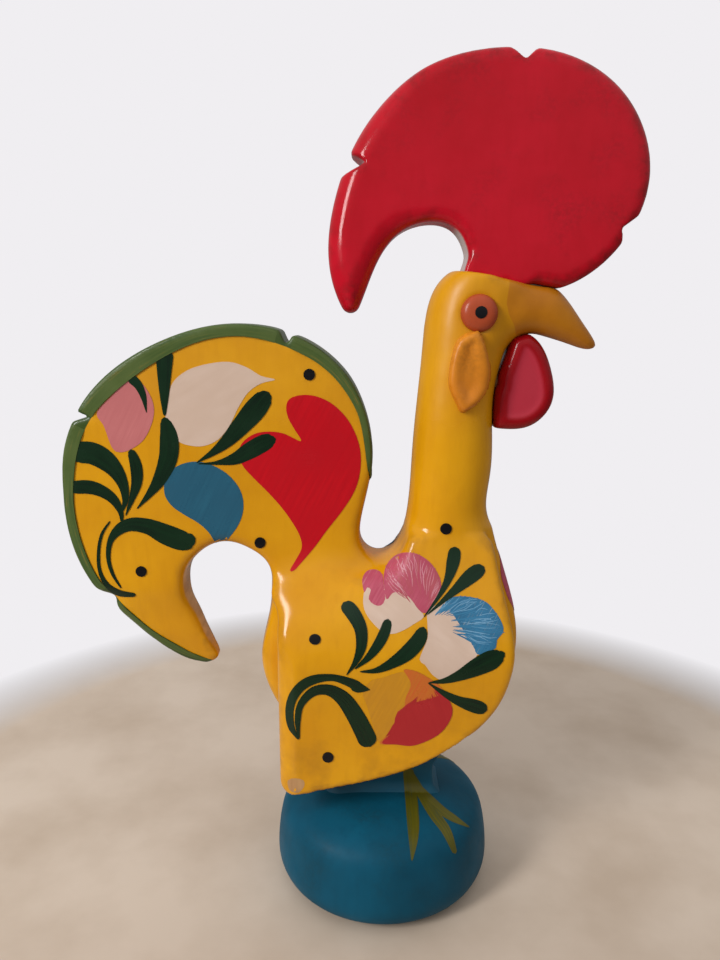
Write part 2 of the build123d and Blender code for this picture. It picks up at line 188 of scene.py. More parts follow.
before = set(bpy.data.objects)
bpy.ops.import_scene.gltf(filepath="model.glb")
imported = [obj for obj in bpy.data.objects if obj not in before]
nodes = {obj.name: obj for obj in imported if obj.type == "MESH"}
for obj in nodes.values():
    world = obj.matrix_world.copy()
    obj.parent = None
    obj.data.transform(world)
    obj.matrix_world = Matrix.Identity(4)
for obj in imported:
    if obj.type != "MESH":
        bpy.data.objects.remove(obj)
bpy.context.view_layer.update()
BASE_X = (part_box("base")[0][0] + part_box("base")[1][0]) / 2 / MM
rng = np.random.default_rng(7)


# Small helpers for arrays and curves
def read(items, key, width, kind=np.float32):
    """One property of all the parts of a mesh, as rows."""
    values = np.empty(len(items) * width, kind)
    items.foreach_get(key, values)
    return values.reshape(-1, width) if width > 1 else values


def node_arrays(name):
    """Vertices in millimetres and triangles of a CAD node."""
    mesh = nodes[name].data
    mesh.calc_loop_triangles()
    return read(mesh.vertices, "co", 3) / MM, read(mesh.loop_triangles, "vertices", 3, np.int32)


def smoothstep(low, high, value):
    """0 at low, 1 at high, and smooth between them."""
    share = np.clip((value - low) / (high - low), 0.0, 1.0)
    return share * share * (3 - 2 * share)


def smooth_line(points, step, closed=False):
    """A Catmull-Rom curve through rows of numbers, sampled about every step of its first two."""
    knots = np.array(points, float)
    if closed:
        knots = np.vstack([knots[-1], knots, knots[0], knots[1]])
    else:
        knots = np.vstack([2 * knots[0] - knots[1], knots, 2 * knots[-1] - knots[-2]])
    line = []
    for a, b, c, d in zip(knots, knots[1:], knots[2:], knots[3:]):
        count = max(2, int(np.linalg.norm((c - b)[:2]) / step))
        for t in np.arange(count) / count:
            bend = (2 * a - 5 * b + 4 * c - d) * t * t
            twist = (3 * b - a - 3 * c + d) * t * t * t
            line.append(0.5 * (2 * b + (c - a) * t + bend + twist))
    if not closed:
        line.append(knots[-2])
    return np.array(line)


def averaged(values, width, edge="edge"):
    """A flat map or a field averaged over a width, which softens its edges."""
    taps = int(2.5 * width / VOXEL) + 1
    weights = np.exp(-0.5 * (np.arange(-taps, taps + 1) * VOXEL / width) ** 2)
    weights = (weights / weights.sum()).astype(values.dtype)
    for axis, size in enumerate(values.shape):
        pads = np.zeros((values.ndim, 2), int)
        pads[axis] = taps
        padded = np.moveaxis(np.pad(values, pads, mode=edge), axis, 0)
        total = sum(weight * padded[i:i + size] for i, weight in enumerate(weights))
        values = np.moveaxis(total, 0, axis)
    return np.ascontiguousarray(values)


def add_object(name, mesh):
    """An object of the ornament, which rides on its one body."""
    piece = bpy.data.objects.new(name, mesh)
    bpy.context.scene.collection.objects.link(piece)
    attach(piece, "root")
    return piece


def new_mesh(name, points, faces):
    """A smooth mesh, given in millimetres."""
    mesh = bpy.data.meshes.new(name)
    mesh.from_pydata((np.asarray(points) * MM).tolist(), [], [list(face) for face in faces])
    mesh.polygons.foreach_set("use_smooth", np.ones(len(mesh.polygons), bool))
    return mesh


def add_piece(name, points, faces, material, normals=None, node=None):
    """A piece of the ornament from its points and faces, shown for a CAD node or laid on others."""
    mesh = new_mesh(name, points, faces)
    if normals is not None:
        mesh.normals_split_custom_set_from_vertices(normals)
    mesh.materials.append(material)
    piece = add_object(name, mesh)
    if node is not None:
        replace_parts(piece, node)
    return piece


def lattice(rows, columns):
    """Quads between the points of some rows."""
    faces = []
    for i in range(rows - 1):
        for k in range(i * columns, (i + 1) * columns - 1):
            faces.append([k, k + 1, k + columns + 1, k + columns])
    return faces


def add_values(piece, name, values):
    """A number for each point of a piece, for its material to read."""
    piece.data.attributes.new(name, "FLOAT", "POINT").data.foreach_set("value", values.astype(np.float32))


# Distance fields, from which the carved skin is drawn
TRANSFORM = openvdb.createLinearTransform(voxelSize=VOXEL)


class Room:
    """A block of voxels round some CAD nodes."""

    def __init__(self, *names):
        boxes = [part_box(name) for name in names]
        low = np.min([box[0] for box in boxes], axis=0) / MM - REACH
        high = np.max([box[1] for box in boxes], axis=0) / MM + REACH
        self.low = np.floor(low / VOXEL).astype(int) - 1
        self.shape = np.ceil(high / VOXEL).astype(int) + 2 - self.low
        self.axes = [(self.low[i] + np.arange(self.shape[i])) * VOXEL for i in range(3)]

    def grid(self):
        """The x, y and z of every voxel, as arrays that broadcast."""
        x, y, z = self.axes
        return x[:, None, None], y[None, :, None], z[None, None, :]

    def field(self, points, faces):
        """Signed distance to a closed mesh of triangles or quads, negative inside."""
        shape = {"triangles" if faces.shape[1] == 3 else "quads": faces.astype(np.uint32)}
        grid = openvdb.FloatGrid.createLevelSetFromPolygons(
            points.astype(np.float32), transform=TRANSFORM, halfWidth=REACH / VOXEL, **shape
        )
        values = np.empty(self.shape, np.float32)
        grid.copyToArray(values, ijk=tuple(int(i) for i in self.low))
        return values

    def node(self, name):
        """Signed distance to a CAD node."""
        return self.field(*node_arrays(name))

    def polygons(self, values, level=0.0):
        """The surface on which a field has one value."""
        grid = openvdb.FloatGrid(REACH)
        grid.copyFromArray(values.astype(np.float32), ijk=tuple(int(i) for i in self.low))
        grid.transform = TRANSFORM
        points, _, quads = grid.convertToPolygons(isovalue=level, adaptivity=0.0)
        return points, quads

    def closed(self, values, radius):
        """The field with its inner corners filled to a radius; a negative one rounds outer corners."""
        return self.field(*self.polygons(values, radius)) + radius

    def sample(self, values, points):
        """A field read between its voxels."""
        place = points / VOXEL - self.low
        base = np.clip(np.floor(place).astype(int), 0, self.shape - 2)
        part = place - base
        total = np.zeros(len(points))
        for dx in (0, 1):
            for dy in (0, 1):
                for dz in (0, 1):
                    corner = base + (dx, dy, dz)
                    share = np.abs(1 - np.array((dx, dy, dz)) - part).prod(axis=1)
                    total += share * values[corner[:, 0], corner[:, 1], corner[:, 2]]
        return total

    def slice_at(self, values, y):
        """The flat map of a field at one depth."""
        return values[:, int(round(y / VOXEL)) - self.low[1], :]

    def normals(self, values, points):
        """Directions in which a field rises fastest."""
        slopes = np.gradient(values, VOXEL)
        normals = np.stack([self.sample(slope, points) for slope in slopes], axis=1)
        return normals / (np.linalg.norm(normals, axis=1)[:, None] + 1e-9)

    def surface(self, values):
        """Points, outward-facing quads and normals of a field's zero surface."""
        points, quads = self.polygons(values)
        points = points.astype(float)
        normals = self.normals(values, points)
        points -= self.sample(values, points)[:, None] * normals
        sides = np.cross(points[quads[:, 2]] - points[quads[:, 0]], points[quads[:, 3]] - points[quads[:, 1]])
        if (sides * normals[quads[:, 0]]).sum() < 0:
            quads = quads[:, ::-1]
        return points, quads, normals


# Materials
def linear(colour):
    """Screen values from 0 to 255 as linear light."""
    shares = np.array(colour) / 255
    light = np.where(shares <= 0.04045, shares / 12.92, ((shares + 0.055) / 1.055) ** 2.4)
    return (*light, 1.0)


class Nodes:
    """Short calls for building a tree of shader nodes."""

    def __init__(self, owner):
        owner.use_nodes = True
        self.tree = owner.node_tree

    def add(self, kind, **settings):
        node = self.tree.nodes.new("ShaderNode" + kind)
        for key, value in settings.items():
            setattr(node, key, value)
        return node

    def feed(self, node, **values):
        """Sets inputs of a node, each to a constant or to the output of another node."""
        for key, value in values.items():
            self.join(node.inputs[key.replace("_", " ")], value)

    def join(self, socket, value):
        """Links a socket to another one, or sets its constant."""
        if isinstance(value, bpy.types.NodeSocket):
            self.tree.links.new(value, socket)
        else:
            socket.default_value = value

    def attribute(self, name, output="Fac"):
        return self.add("Attribute", attribute_name=name).outputs[output]

    def place(self, kind="Object"):
        """Where a point is on the ornament in metres, or which way a ray of the world goes."""
        return self.add("TexCoord").outputs[kind]

    def axis(self, letter, kind="Object"):
        split = self.add("SeparateXYZ")
        self.join(split.inputs[0], self.place(kind))
        return split.outputs[letter]

    def noise(self, scale, detail=3.0, stretch=(1, 1, 1), source=None):
        mapping = self.add("Mapping")
        self.feed(mapping, Scale=stretch, Vector=source or self.place())
        texture = self.add("TexNoise")
        self.feed(texture, Vector=mapping.outputs[0], Scale=scale, Detail=detail, Roughness=0.55)
        return texture.outputs["Fac"]

    def ramp(self, value, low, high, to_low=0.0, to_high=1.0, **settings):
        node = self.add("MapRange", **settings)
        self.feed(node, Value=value, From_Min=low, From_Max=high, To_Min=to_low, To_Max=to_high)
        return node.outputs["Result"]

    def sum_of(self, first, second, operation="ADD"):
        node = self.add("Math", operation=operation)
        self.join(node.inputs[0], first)
        self.join(node.inputs[1], second)
        return node.outputs[0]

    def times(self, first, second):
        return self.sum_of(first, second, "MULTIPLY")

    def mix(self, share, first, second):
        """One colour over another."""
        node = self.add("Mix", data_type="RGBA")
        self.join(node.inputs["Factor"], share)
        self.join(node.inputs[6], first)
        self.join(node.inputs[7], second)
        return node.outputs[2]

    def blend(self, share, first, second, output):
        """One shader over another, at the tree's output."""
        node = self.add("MixShader")
        for socket, value in zip(node.inputs, (share, first.outputs[0], second.outputs[0])):
            self.join(socket, value)
        self.feed(self.tree.nodes[output], Surface=node.outputs[0])


class Paint(Nodes):
    """A material with uneven colour, gloss and relief."""

    def __init__(self, name, shine=SHINE):
        self.material = bpy.data.materials.new(name)
        super().__init__(self.material)
        self.shader = self.tree.nodes["Principled BSDF"]
        self.feed(self.shader, Specular_IOR_Level=shine)

    def bump(self, *layers):
        """Relief from pairs of a texture and its depth in metres."""
        normal = None
        for texture, depth in layers:
            node = self.add("Bump")
            self.feed(node, Strength=1.0, Distance=depth, Height=texture)
            if normal is not None:
                self.feed(node, Normal=normal)
            normal = node.outputs["Normal"]
        self.feed(self.shader, Normal=normal)

    def gloss(self, level):
        """Uneven gloss round a roughness."""
        low, high = level - GLOSS_SPREAD, level + GLOSS_SPREAD
        self.feed(self.shader, Roughness=self.ramp(self.noise(90, 4), 0.3, 0.7, low, high))


def enamel(name, colour, deep, grime, gloss, shine=SHINE, wear=None, bare=None):
    """Brushed enamel: cloudy colour, fine brush lines, uneven gloss, grime, and wear on its edges."""
    n = Paint(name, shine)
    clouds = n.ramp(n.noise(30, 4), 0.35, 0.68)
    brush = n.noise(330, 3, (1, 1, 0.22))
    tint = n.mix(clouds, linear(colour), linear(deep))
    tint = n.mix(n.ramp(brush, 0.48, 0.78, 0.0, 0.4), tint, linear(deep))
    dirt = n.times(n.ramp(n.noise(55, 5), 0.5, 0.72), n.ramp(n.noise(700, 3), 0.35, 0.6))
    tint = n.mix(n.times(dirt, 0.35), tint, linear(grime))
    # A pale colour where the point values ask for it: bare primer with a painted reflection on the wall of the
    # comb's arch, and a painted reflection in the middle of the wattle's dish
    if bare is not None:
        tint = n.mix(n.attribute("bare"), tint, linear(bare))
    if wear is not None:
        rubbed = n.times(n.ramp(n.attribute("edge"), 0.10, 0.30), n.ramp(n.noise(240, 5), 0.46, 0.62))
        tint = n.mix(n.times(rubbed, 0.4), tint, linear(wear))
    n.feed(n.shader, Base_Color=tint)
    n.gloss(gloss)
    n.bump((n.noise(60, 2), 0.00025), (brush, 0.00002), (n.noise(1400, 2), 0.000012))
    return n.material


def brushed(name, colour, deep, gloss, thin=None, coarse=5.0):
    """Thick paint of a motif: streaks along its strokes; thin is what shows through dry streaks."""
    n = Paint(name)
    run = n.attribute("stroke", "Vector")
    streaks = n.noise(1.0, 3, (0.5, coarse, 1.0), run)
    tint = n.mix(n.ramp(streaks, 0.36, 0.66), linear(colour), linear(deep))
    tint = n.mix(n.ramp(n.noise(45, 3), 0.4, 0.7), tint, linear(deep))
    if thin is not None:
        dry = n.times(n.ramp(streaks, 0.56, 0.68), n.ramp(n.noise(110, 4), 0.45, 0.6))
        tint = n.mix(n.times(dry, 0.7), tint, linear(thin))
    n.feed(n.shader, Base_Color=tint)
    n.gloss(gloss)
    n.bump((streaks, 0.00003), (n.noise(900, 2), 0.000012))
    return n.material


def body_paint():
    """Yellow enamel of the body, blue on the leg, dull low down and rubbed on the edges."""
    n = Paint("body_yellow")

    def cloudy(scale, colour, deep, stretch=(1, 1, 1)):
        return n.mix(n.ramp(n.noise(scale, 4, stretch), 0.35, 0.65), linear(colour), linear(deep))

    clouds = n.ramp(n.noise(26, 4), 0.36, 0.66)
    brush = n.noise(330, 3, (1, 1, 0.22))
    tint = n.mix(clouds, linear((226, 160, 16)), linear((212, 144, 12)))
    tint = n.mix(n.ramp(brush, 0.48, 0.78, 0.0, 0.3), tint, linear((200, 132, 10)))
    dirt = n.times(n.ramp(n.axis("Z"), 0.10, 0.055), n.ramp(n.noise(60, 5), 0.42, 0.66))
    tint = n.mix(n.times(dirt, 0.65), tint, linear((166, 110, 24)))
    rubbed = n.times(n.ramp(n.attribute("edge"), 0.16, 0.42), n.ramp(n.noise(150, 6), 0.48, 0.68))
    tint = n.mix(n.times(rubbed, 0.4), tint, linear((136, 90, 30)))
    green = cloudy(70, (56, 76, 30), (72, 90, 40))
    tint = n.mix(n.ramp(n.attribute("rim"), -0.12, 0.12), tint, green)
    raw = cloudy(180, (212, 168, 112), (180, 132, 80), (1, 0.2, 1))
    tint = n.mix(n.attribute("bare"), tint, raw)
    ochre = cloudy(60, (206, 131, 20), (189, 115, 17))
    tint = n.mix(n.ramp(n.attribute("beak"), -0.2, 0.2), tint, ochre)
    on_leg = n.ramp(n.attribute("leg"), -0.3, 0.3)
    tint = n.mix(on_leg, tint, cloudy(40, (12, 82, 107), (10, 66, 87)))
    dull = n.sum_of(n.times(on_leg, 0.4), n.ramp(n.axis("Z"), 0.17, 0.19, 0.0, 0.22))
    rough = n.sum_of(n.ramp(n.noise(90, 4), 0.3, 0.7, 0.10, 0.20), dull)
    n.feed(n.shader, Base_Color=tint, Roughness=rough)
    n.bump((n.noise(55, 2), 0.0003), (brush, 0.00002), (n.noise(1400, 2), 0.000012))
    return n.material


def bare_wood():
    """Straight-grained pale wood."""
    n = Paint("bare_wood")
    grain = n.noise(260, 4, (1, 1, 0.05))
    tint = n.mix(n.ramp(grain, 0.35, 0.7), linear((196, 152, 104)), linear((160, 116, 74)))
    n.feed(n.shader, Base_Color=tint, Roughness=n.ramp(grain, 0.3, 0.7, 0.55, 0.75))
    n.bump((grain, 0.00004))
    return n.material


yellow = body_paint()
wood = bare_wood()
# The comb's pale colour is bare primer, lighter still as a painted reflection on its arch wall; the wattle's
# pale colour is a painted reflection in its dish
red = enamel("comb_red", (198, 16, 38), (182, 10, 28), (116, 20, 26), 0.16, 0.24,
             wear=(96, 24, 22), bare=(206, 190, 186))
wattle_red = enamel("wattle_red", (168, 9, 24), (150, 6, 17), (110, 16, 22), 0.14, 0.24, bare=(186, 50, 66))
blue = enamel("base_blue", (12, 82, 107), (10, 66, 87), (26, 56, 62), 0.52, 0.1, wear=(40, 68, 74))
lobe_ochre = enamel("lobe_ochre", (232, 148, 40), (214, 128, 30), (120, 70, 24), 0.34)
eye_orange = enamel("eye_orange", (184, 80, 46), (158, 62, 30), (104, 46, 28), 0.3)
leaf_green = brushed("leaf_green", (5, 28, 14), (10, 42, 20), 0.24, coarse=2.5)
rim_green = brushed("rim_green", (62, 84, 38), (84, 100, 48), 0.34, thin=(160, 118, 44))
heart_red = brushed("heart_red", (202, 12, 28), (190, 10, 26), 0.2)
petal_white = brushed("petal_white", (218, 192, 174), (210, 182, 162), 0.36, coarse=1.2)
petal_pink = brushed("petal_pink", (206, 124, 123), (194, 110, 110), 0.34)
petal_blue = brushed("petal_blue", (42, 98, 122), (36, 88, 112), 0.3)
body_pink = brushed("body_pink", (198, 96, 118), (178, 70, 92), 0.34, thin=(206, 140, 146), coarse=9.0)
sky_blue = brushed("sky_blue", (56, 122, 160), (44, 102, 138), 0.34, thin=(176, 190, 192), coarse=9.0)
petal_red = brushed("petal_red", (206, 98, 42), (200, 110, 40), 0.34, thin=(214, 140, 34), coarse=8.0)
dry_ochre = brushed("dry_ochre", (212, 148, 26), (196, 134, 32), 0.4, thin=(222, 156, 18))
pale_pink = brushed("pale_pink", (214, 150, 158), (206, 136, 148), 0.38)
pale_blue = brushed("pale_blue", (128, 172, 200), (108, 156, 190), 0.38)
streak_pink = brushed("streak_pink", (172, 72, 84), (184, 88, 98), 0.36)
streak_blue = brushed("streak_blue", (44, 104, 144), (60, 128, 166), 0.36)
streak_red = brushed("streak_red", (184, 44, 46), (172, 36, 40), 0.32)
ink_black = brushed("ink_black", (5, 5, 9), (9, 9, 14), 0.2)
toe_olive = brushed("toe_olive", (96, 90, 10), (76, 74, 10), 0.42, thin=(46, 76, 66))


# CAD nodes that are shown as they are
for name, material in (
    ("eye_right", eye_orange),
    ("eye_left", eye_orange),
    ("base_dowels", wood),
    ("tail_dowels", wood),
    ("comb_dowels", wood),
    ("beak_dowel", wood),
    ("wattle_dowel", wood),
):
    slots = nodes[name].data.materials
    slots.clear()
    slots.append(material)


# Carved skin of the board, the wings, the tail and the beak
def spread(values, mask, width):
    """A flat map averaged over the part of it that a mask keeps, and drawn out past the mask's edge."""
    share = averaged(mask.astype(float), width, "constant")
    return averaged(values * mask, width, "constant") / np.maximum(share, 1e-3)


def rounded_board(outline, depth, round_in, round_deep):
    """A board from its flat outline and its depth fields, with elliptical edges."""
    across = outline / round_in + 1
    through = depth / round_deep + 1
    corner = np.sqrt(np.maximum(across, 0) ** 2 + np.maximum(through, 0) ** 2)
    inside = np.minimum(np.maximum(across, through), 0)
    return (corner + inside - 1) * np.minimum(round_in, round_deep)


def wedge(X, Z, corner, first, second):
    """Distance into a sawn notch between two flanks that meet in a corner, negative inside."""
    walls = []
    for (x, z), (other_x, other_z) in ((first, second), (second, first)):
        run = np.array((x - corner[0], z - corner[1]))
        run /= np.linalg.norm(run)
        away = np.sign((other_x - corner[0]) * run[1] - (other_z - corner[1]) * run[0])
        walls.append(-away * ((X - corner[0]) * run[1] - (Z - corner[1]) * run[0]))
    return np.maximum(*walls)


def half_depth(room, values):
    """How far a symmetrical field reaches from the middle plane, over X and Z."""
    here = room.axes[1] <= 0
    right = values[:, here, :]
    depths = -room.axes[1][here]
    inside = right < 0
    first = np.argmax(inside, axis=1)
    level = np.take_along_axis(right, first[:, None, :], axis=1)[:, 0, :]
    outer = np.take_along_axis(right, np.maximum(first - 1, 0)[:, None, :], axis=1)[:, 0, :]
    return np.where(inside.any(axis=1), depths[first] + VOXEL * level / (level - outer - 1e-6), 0.0)


def let_out_rim(room, boards):
    """The boards with the tail's rim let out a little."""
    X, Y, Z = room.grid()
    zone = smoothstep(*RIM_RADIUS, np.hypot(X - RIM_MIDDLE[0], Z - RIM_MIDDLE[1])) * smoothstep(*RIM_FRONT, X)
    zone = zone * np.maximum(smoothstep(*RIM_HIGH, Z), smoothstep(*RIM_REAR, X))
    outline = room.slice_at(boards, 0.0)[:, None, :] - RIM_OUT * zone
    wider = rounded_board(outline, np.abs(Y) - BOARD_HALF, 1.0, 1.0)
    return np.where(zone > 0, np.minimum(boards, wider), boards).astype(np.float32)


def thin_tip(room, boards):
    """The boards with the tail's tip drawn down and thinned towards its end."""
    x, y, z = room.axes
    zone = np.ix_(np.flatnonzero(x < TIP_FROM[0]), np.arange(len(y)), np.flatnonzero(z < TIP_FROM[1]))
    X, Y, Z = np.meshgrid(x[zone[0].ravel()], y, z[zone[2].ravel()], indexing="ij")
    fall = np.clip((TIP_FROM[1] - Z) / TIP_LENGTH, 0, 1) ** 2
    wide = np.clip(Y * BOARD_HALF / np.interp(Z, *zip(*TIP_HALF)), -TIP_SIDE, TIP_SIDE)
    places = np.stack([X, wide, Z + TIP_DROP * fall], axis=-1).reshape(-1, 3)
    boards[zone] = room.sample(boards, places).reshape(X.shape)
    return boards


def carve_body():
    """The room and the field of the body: flanks drawn out into tail and neck, head into the beak."""
    room = Room("body_core", "wing_right", "wing_left", "tail", "beak")
    X, Y, Z = room.grid()
    x_map, z_map = X[:, 0, :], Z[:, 0, :]
    parts = np.minimum(np.minimum(room.node("body_core"), room.node("tail")), room.node("beak"))
    boards = room.closed(parts, HOLE_FILL)
    front = X - np.interp(room.axes[2], *zip(*LEG_FRONT))
    boards = np.where(Z < LEG_FRONT[-1][0], np.maximum(boards, EDGE_LEAN * front), boards)
    above = Z - np.interp(np.hypot(X - BASE_X, Y), *zip(*BASE_PROFILE[:BASE_RIM]))
    rise = np.clip((above + LEG_SINK) / LEG_FLARE, 0, 1)
    flared = np.maximum(boards - LEG_FLARE * (1 - np.sqrt(1 - (1 - rise) ** 2)), -1.0 - above)
    boards = np.where(Z < LEG_TOP, flared, boards).astype(np.float32)
    inner = X - np.interp(room.axes[2], *zip(*TIP_INNER))
    at_tip = (X < TIP_FRONT) & (Z < TIP_INNER[-1][0])
    boards = np.where(at_tip, np.maximum(boards, EDGE_LEAN * inner), boards)
    saddle = SADDLE[2] - np.hypot(X - SADDLE[0], Z - SADDLE[1])
    boards = np.maximum(boards, saddle).astype(np.float32)
    boards = thin_tip(room, let_out_rim(room, boards))
    for notch in TAIL_NOTCHES:
        boards = np.maximum(boards, -wedge(X, Z, *notch)).astype(np.float32)
    wing = room.node("wing_right")
    wings = np.minimum(wing, room.node("wing_left"))
    sharp = np.minimum(boards, wings)

    # Half depth of the flanks, averaged where the carver drew them out
    rear = WING_REAR - WING_REAR_RISE[2] * smoothstep(*WING_REAR_RISE[:2], z_map)
    drawn = np.maximum(room.slice_at(boards, 0.0), rear - x_map)
    cheek = np.minimum(room.slice_at(wing, -WING_MIDDLE), drawn)
    half = half_depth(room, sharp)
    mask = (cheek < 0) & (half > 0)
    half = np.where(mask, half, spread(half, mask, EDGE_WIDTH))
    soft_half = spread(half, mask, CARVE_WIDTH)
    tail_side = smoothstep(*CARVE_TAIL, z_map) * smoothstep(*CARVE_TAIL_END, z_map)
    neck_side = smoothstep(*CARVE_TAIL, z_map) * smoothstep(*CARVE_NECK_END, z_map)
    on_neck = smoothstep(*CARVE_NECK, x_map)
    carve = (tail_side * (1 - on_neck) + neck_side * on_neck) * smoothstep(*CARVE_BREAST, x_map)
    near_saddle = smoothstep(*SADDLE_END, np.hypot(x_map - SADDLE[0], z_map - SADDLE[1]))
    half = half + (soft_half - half) * carve * (1 - SADDLE_FADE * near_saddle)
    flank = rounded_board(cheek[:, None, :], np.abs(Y) - half[:, None, :], WING_ROUND, WING_ROUND)
    through = np.maximum(room.slice_at(wing, -WING_INNER - 1)[:, None, :], np.abs(Y) - WING_INNER - 1)
    breast = room.closed(np.minimum(wings, through), -WING_ROUND)
    at_breast = smoothstep(*AT_BREAST, x_map) * (1 - carve)
    flank = flank + (breast - flank) * at_breast[:, None, :]
    flank = np.maximum(flank, WING_INNER - np.abs(Y)).astype(np.float32)

    # Head drawn into the beak
    at_beak = smoothstep(*BEAK_REAR, X) * smoothstep(*BEAK_FRONT, X) * smoothstep(*BEAK_LOW, Z)
    at_beak = at_beak.astype(np.float32)
    boards = boards + (room.closed(boards, BEAK_COVE) - boards) * at_beak
    flank = np.maximum(flank, saddle.astype(np.float32))
    carved = averaged(np.minimum(boards, flank), SOFT_EDGE)
    carved = carved + (averaged(carved, SOFT_HEAD) - carved) * at_beak
    carved = carved + (averaged(carved, SOFT_CARVING) - carved) * carve[:, None, :]
    return room, carved.astype(np.float32)


room, carved = carve_body()
skin_points, skin_quads, _ = room.surface(carved)
skin_tree = BVHTree.FromPolygons(skin_points.tolist(), skin_quads.tolist())


def prism(outline, low, high):
    """An object to cut with: an outline over X and Z, drawn out along Y."""
    count = len(outline)
    points = [(x, y, z) for y in (low, high) for x, z in outline]
    faces = [list(range(count)), list(range(2 * count - 1, count - 1, -1))]
    for i in range(count):
        j = (i + 1) % count
        faces.append([j, i, count + i, count + j])
    cutter = bpy.data.objects.new("cutter", new_mesh("cutter", points, faces))
    bpy.context.scene.collection.objects.link(cutter)
    return cutter


def cut(piece, cutter, operation):
    """The closed mesh that is left of a piece after a cut."""
    modifier = piece.modifiers.new("cut", "BOOLEAN")
    modifier.solver = "MANIFOLD"
    modifier.operation = operation
    modifier.object = cutter
    graph = bpy.context.evaluated_depsgraph_get()
    mesh = bpy.data.meshes.new_from_object(piece.evaluated_get(graph))
    piece.modifiers.remove(modifier)
    return mesh


def rim_depth(x, z):
    """How far points are inside the painted band of the tail's rim."""
    line = smooth_line(TAIL_RIM, 1.0)
    inside = np.full(len(x), OUTSIDE)
    for chunk in np.array_split(np.flatnonzero((x < 0) & (z > 84)), 60):
        gaps = np.hypot(x[chunk, None] - line[:, 0], z[chunk, None] - line[:, 1])
        inside[chunk] = line[gaps.argmin(axis=1), 2] - gaps.min(axis=1)
    return inside


def finish_board(piece, node):
    """Shades a piece of the skin, and gives it the values that its paint reads."""
    mesh = piece.data
    points = read(mesh.vertices, "co", 3) / MM
    normals = room.normals(carved, points)
    corners = read(mesh.loops, "vertex_index", 1, np.int32)
    owners = np.repeat(np.arange(len(mesh.polygons)), read(mesh.polygons, "loop_total", 1, np.int32))
    joint = room.sample(carved, read(mesh.polygons, "center", 3) / MM) < -0.25
    sides = read(mesh.polygons, "normal", 3)
    shading = np.where(joint[owners][:, None], sides[owners], normals[corners])
    mesh.normals_split_custom_set(shading.tolist())
    mesh.materials.clear()
    mesh.materials.append(yellow)
    x, y, z = points.T
    depth = np.abs(y)
    add_values(piece, "edge", np.clip(room.sample(soft, points), 0, 2))
    on_leg = (depth < BOARD_HALF + 0.3) | (z < LEG_TOP - 0.5)
    add_values(piece, "leg", np.where(on_leg, LEG_PAINT[0] + LEG_PAINT[1] * x - z, OUTSIDE))
    add_values(piece, "beak", np.where(z > BEAK_EDGE[0][0], x - np.interp(z, *zip(*BEAK_EDGE)), OUTSIDE))
    add_values(piece, "rim", np.where(depth < BOARD_HALF + 0.6, rim_depth(x, z), OUTSIDE))
    in_arch = smoothstep(ARCH[2], ARCH[2] - ARCH_FADE, np.hypot(x - ARCH[0], z - ARCH[1]))
    wall = smoothstep(*ARCH_WALL, np.abs(normals[:, 1])) * smoothstep(*ARCH_DEPTH, depth)
    add_values(piece, "bare", in_arch * wall)
    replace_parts(piece, node)


soft = averaged(carved, EDGE_BLUR)
core = add_object("painted_core", new_mesh("painted_core", skin_points, skin_quads))
for node, slot, outline, low, high in CUTS:
    cutter = prism(outline, low, high)
    piece = add_object(f"painted_{node}", cut(core, cutter, "INTERSECT"))
    core.data = cut(core, cutter, "DIFFERENCE")
    bpy.data.objects.remove(cutter)
    finish_board(piece, node)
finish_board(core, "body_core")


# Comb, with a full round edge on its hook and wide sawn notches
def carve_comb():
    """The room and the field of the comb."""
    room = Room("comb")
    X, Y, Z = room.grid()
    comb = room.closed(room.node("comb"), HOLE_FILL)
    outline = room.slice_at(comb, 0.0)[:, None, :]
    head = room.slice_at(room.node("body_core"), 0.0)[:, None, :]
    outline = outline - COMB_SEAT * smoothstep(*SEAT_GAP, head)
    hook = smoothstep(*HOOK_FROM, X)
    free = SEAT_CRISP + (1 - SEAT_CRISP) * smoothstep(*SEAT_FREE, head)
    round_in = (COMB_ROUND[0] + (HOOK_ROUND[0] - COMB_ROUND[0]) * hook) * free
    round_deep = (COMB_ROUND[1] + (HOOK_ROUND[1] - COMB_ROUND[1]) * hook) * free
    values = rounded_board(outline, np.abs(Y) - BOARD_HALF, round_in, round_deep)
    for notch in COMB_NOTCHES:
        values = np.maximum(values, -wedge(X, Z, *notch))
    return room, averaged(values.astype(np.float32), SOFT_COMB), np.broadcast_to(head, values.shape)


comb_room, comb_field, comb_seat = carve_comb()
comb_points, comb_quads, comb_normals = comb_room.surface(comb_field)
comb = add_piece("painted_comb", comb_points, comb_quads, red, comb_normals, "comb")
comb_edge = comb_room.sample(averaged(comb_field, EDGE_BLUR), comb_points)
off_head = smoothstep(*SEAT_WEAR, comb_room.sample(comb_seat, comb_points))
add_values(comb, "edge", np.clip(comb_edge, 0, 2) * off_head)
# Wall inside the comb's arch, painted pale: bare primer, lighter still as a painted reflection of the white
# wall
arch_gap = np.hypot(comb_points[:, 0] - COMB_ARCH[0], comb_points[:, 2] - COMB_ARCH[1])
arch_wall = smoothstep(*COMB_ARCH_WALL, comb_normals[:, 0])
arch_wall = arch_wall * smoothstep(*COMB_ARCH_DEPTH, np.abs(comb_points[:, 1]))
add_values(comb, "bare", np.where(arch_gap < COMB_ARCH[2], arch_wall, 0.0))


# Wattle: a full round border with a shallow dish inside it
def carve_wattle():
    """The room, the field and the flat outline of the wattle."""
    room = Room("wattle")
    _, Y, _ = room.grid()
    wattle = room.closed(room.node("wattle"), HOLE_FILL)
    outline = room.slice_at(wattle, 0.0)[:, None, :]
    dish = WATTLE_DISH * smoothstep(-WATTLE_BORDER, -WATTLE_BORDER - WATTLE_SLOPE, outline)
    values = rounded_board(outline, np.abs(Y) - WATTLE_HALF + dish, *WATTLE_ROUND)
    return room, averaged(values.astype(np.float32), SOFT_EDGE), np.broadcast_to(outline, values.shape)


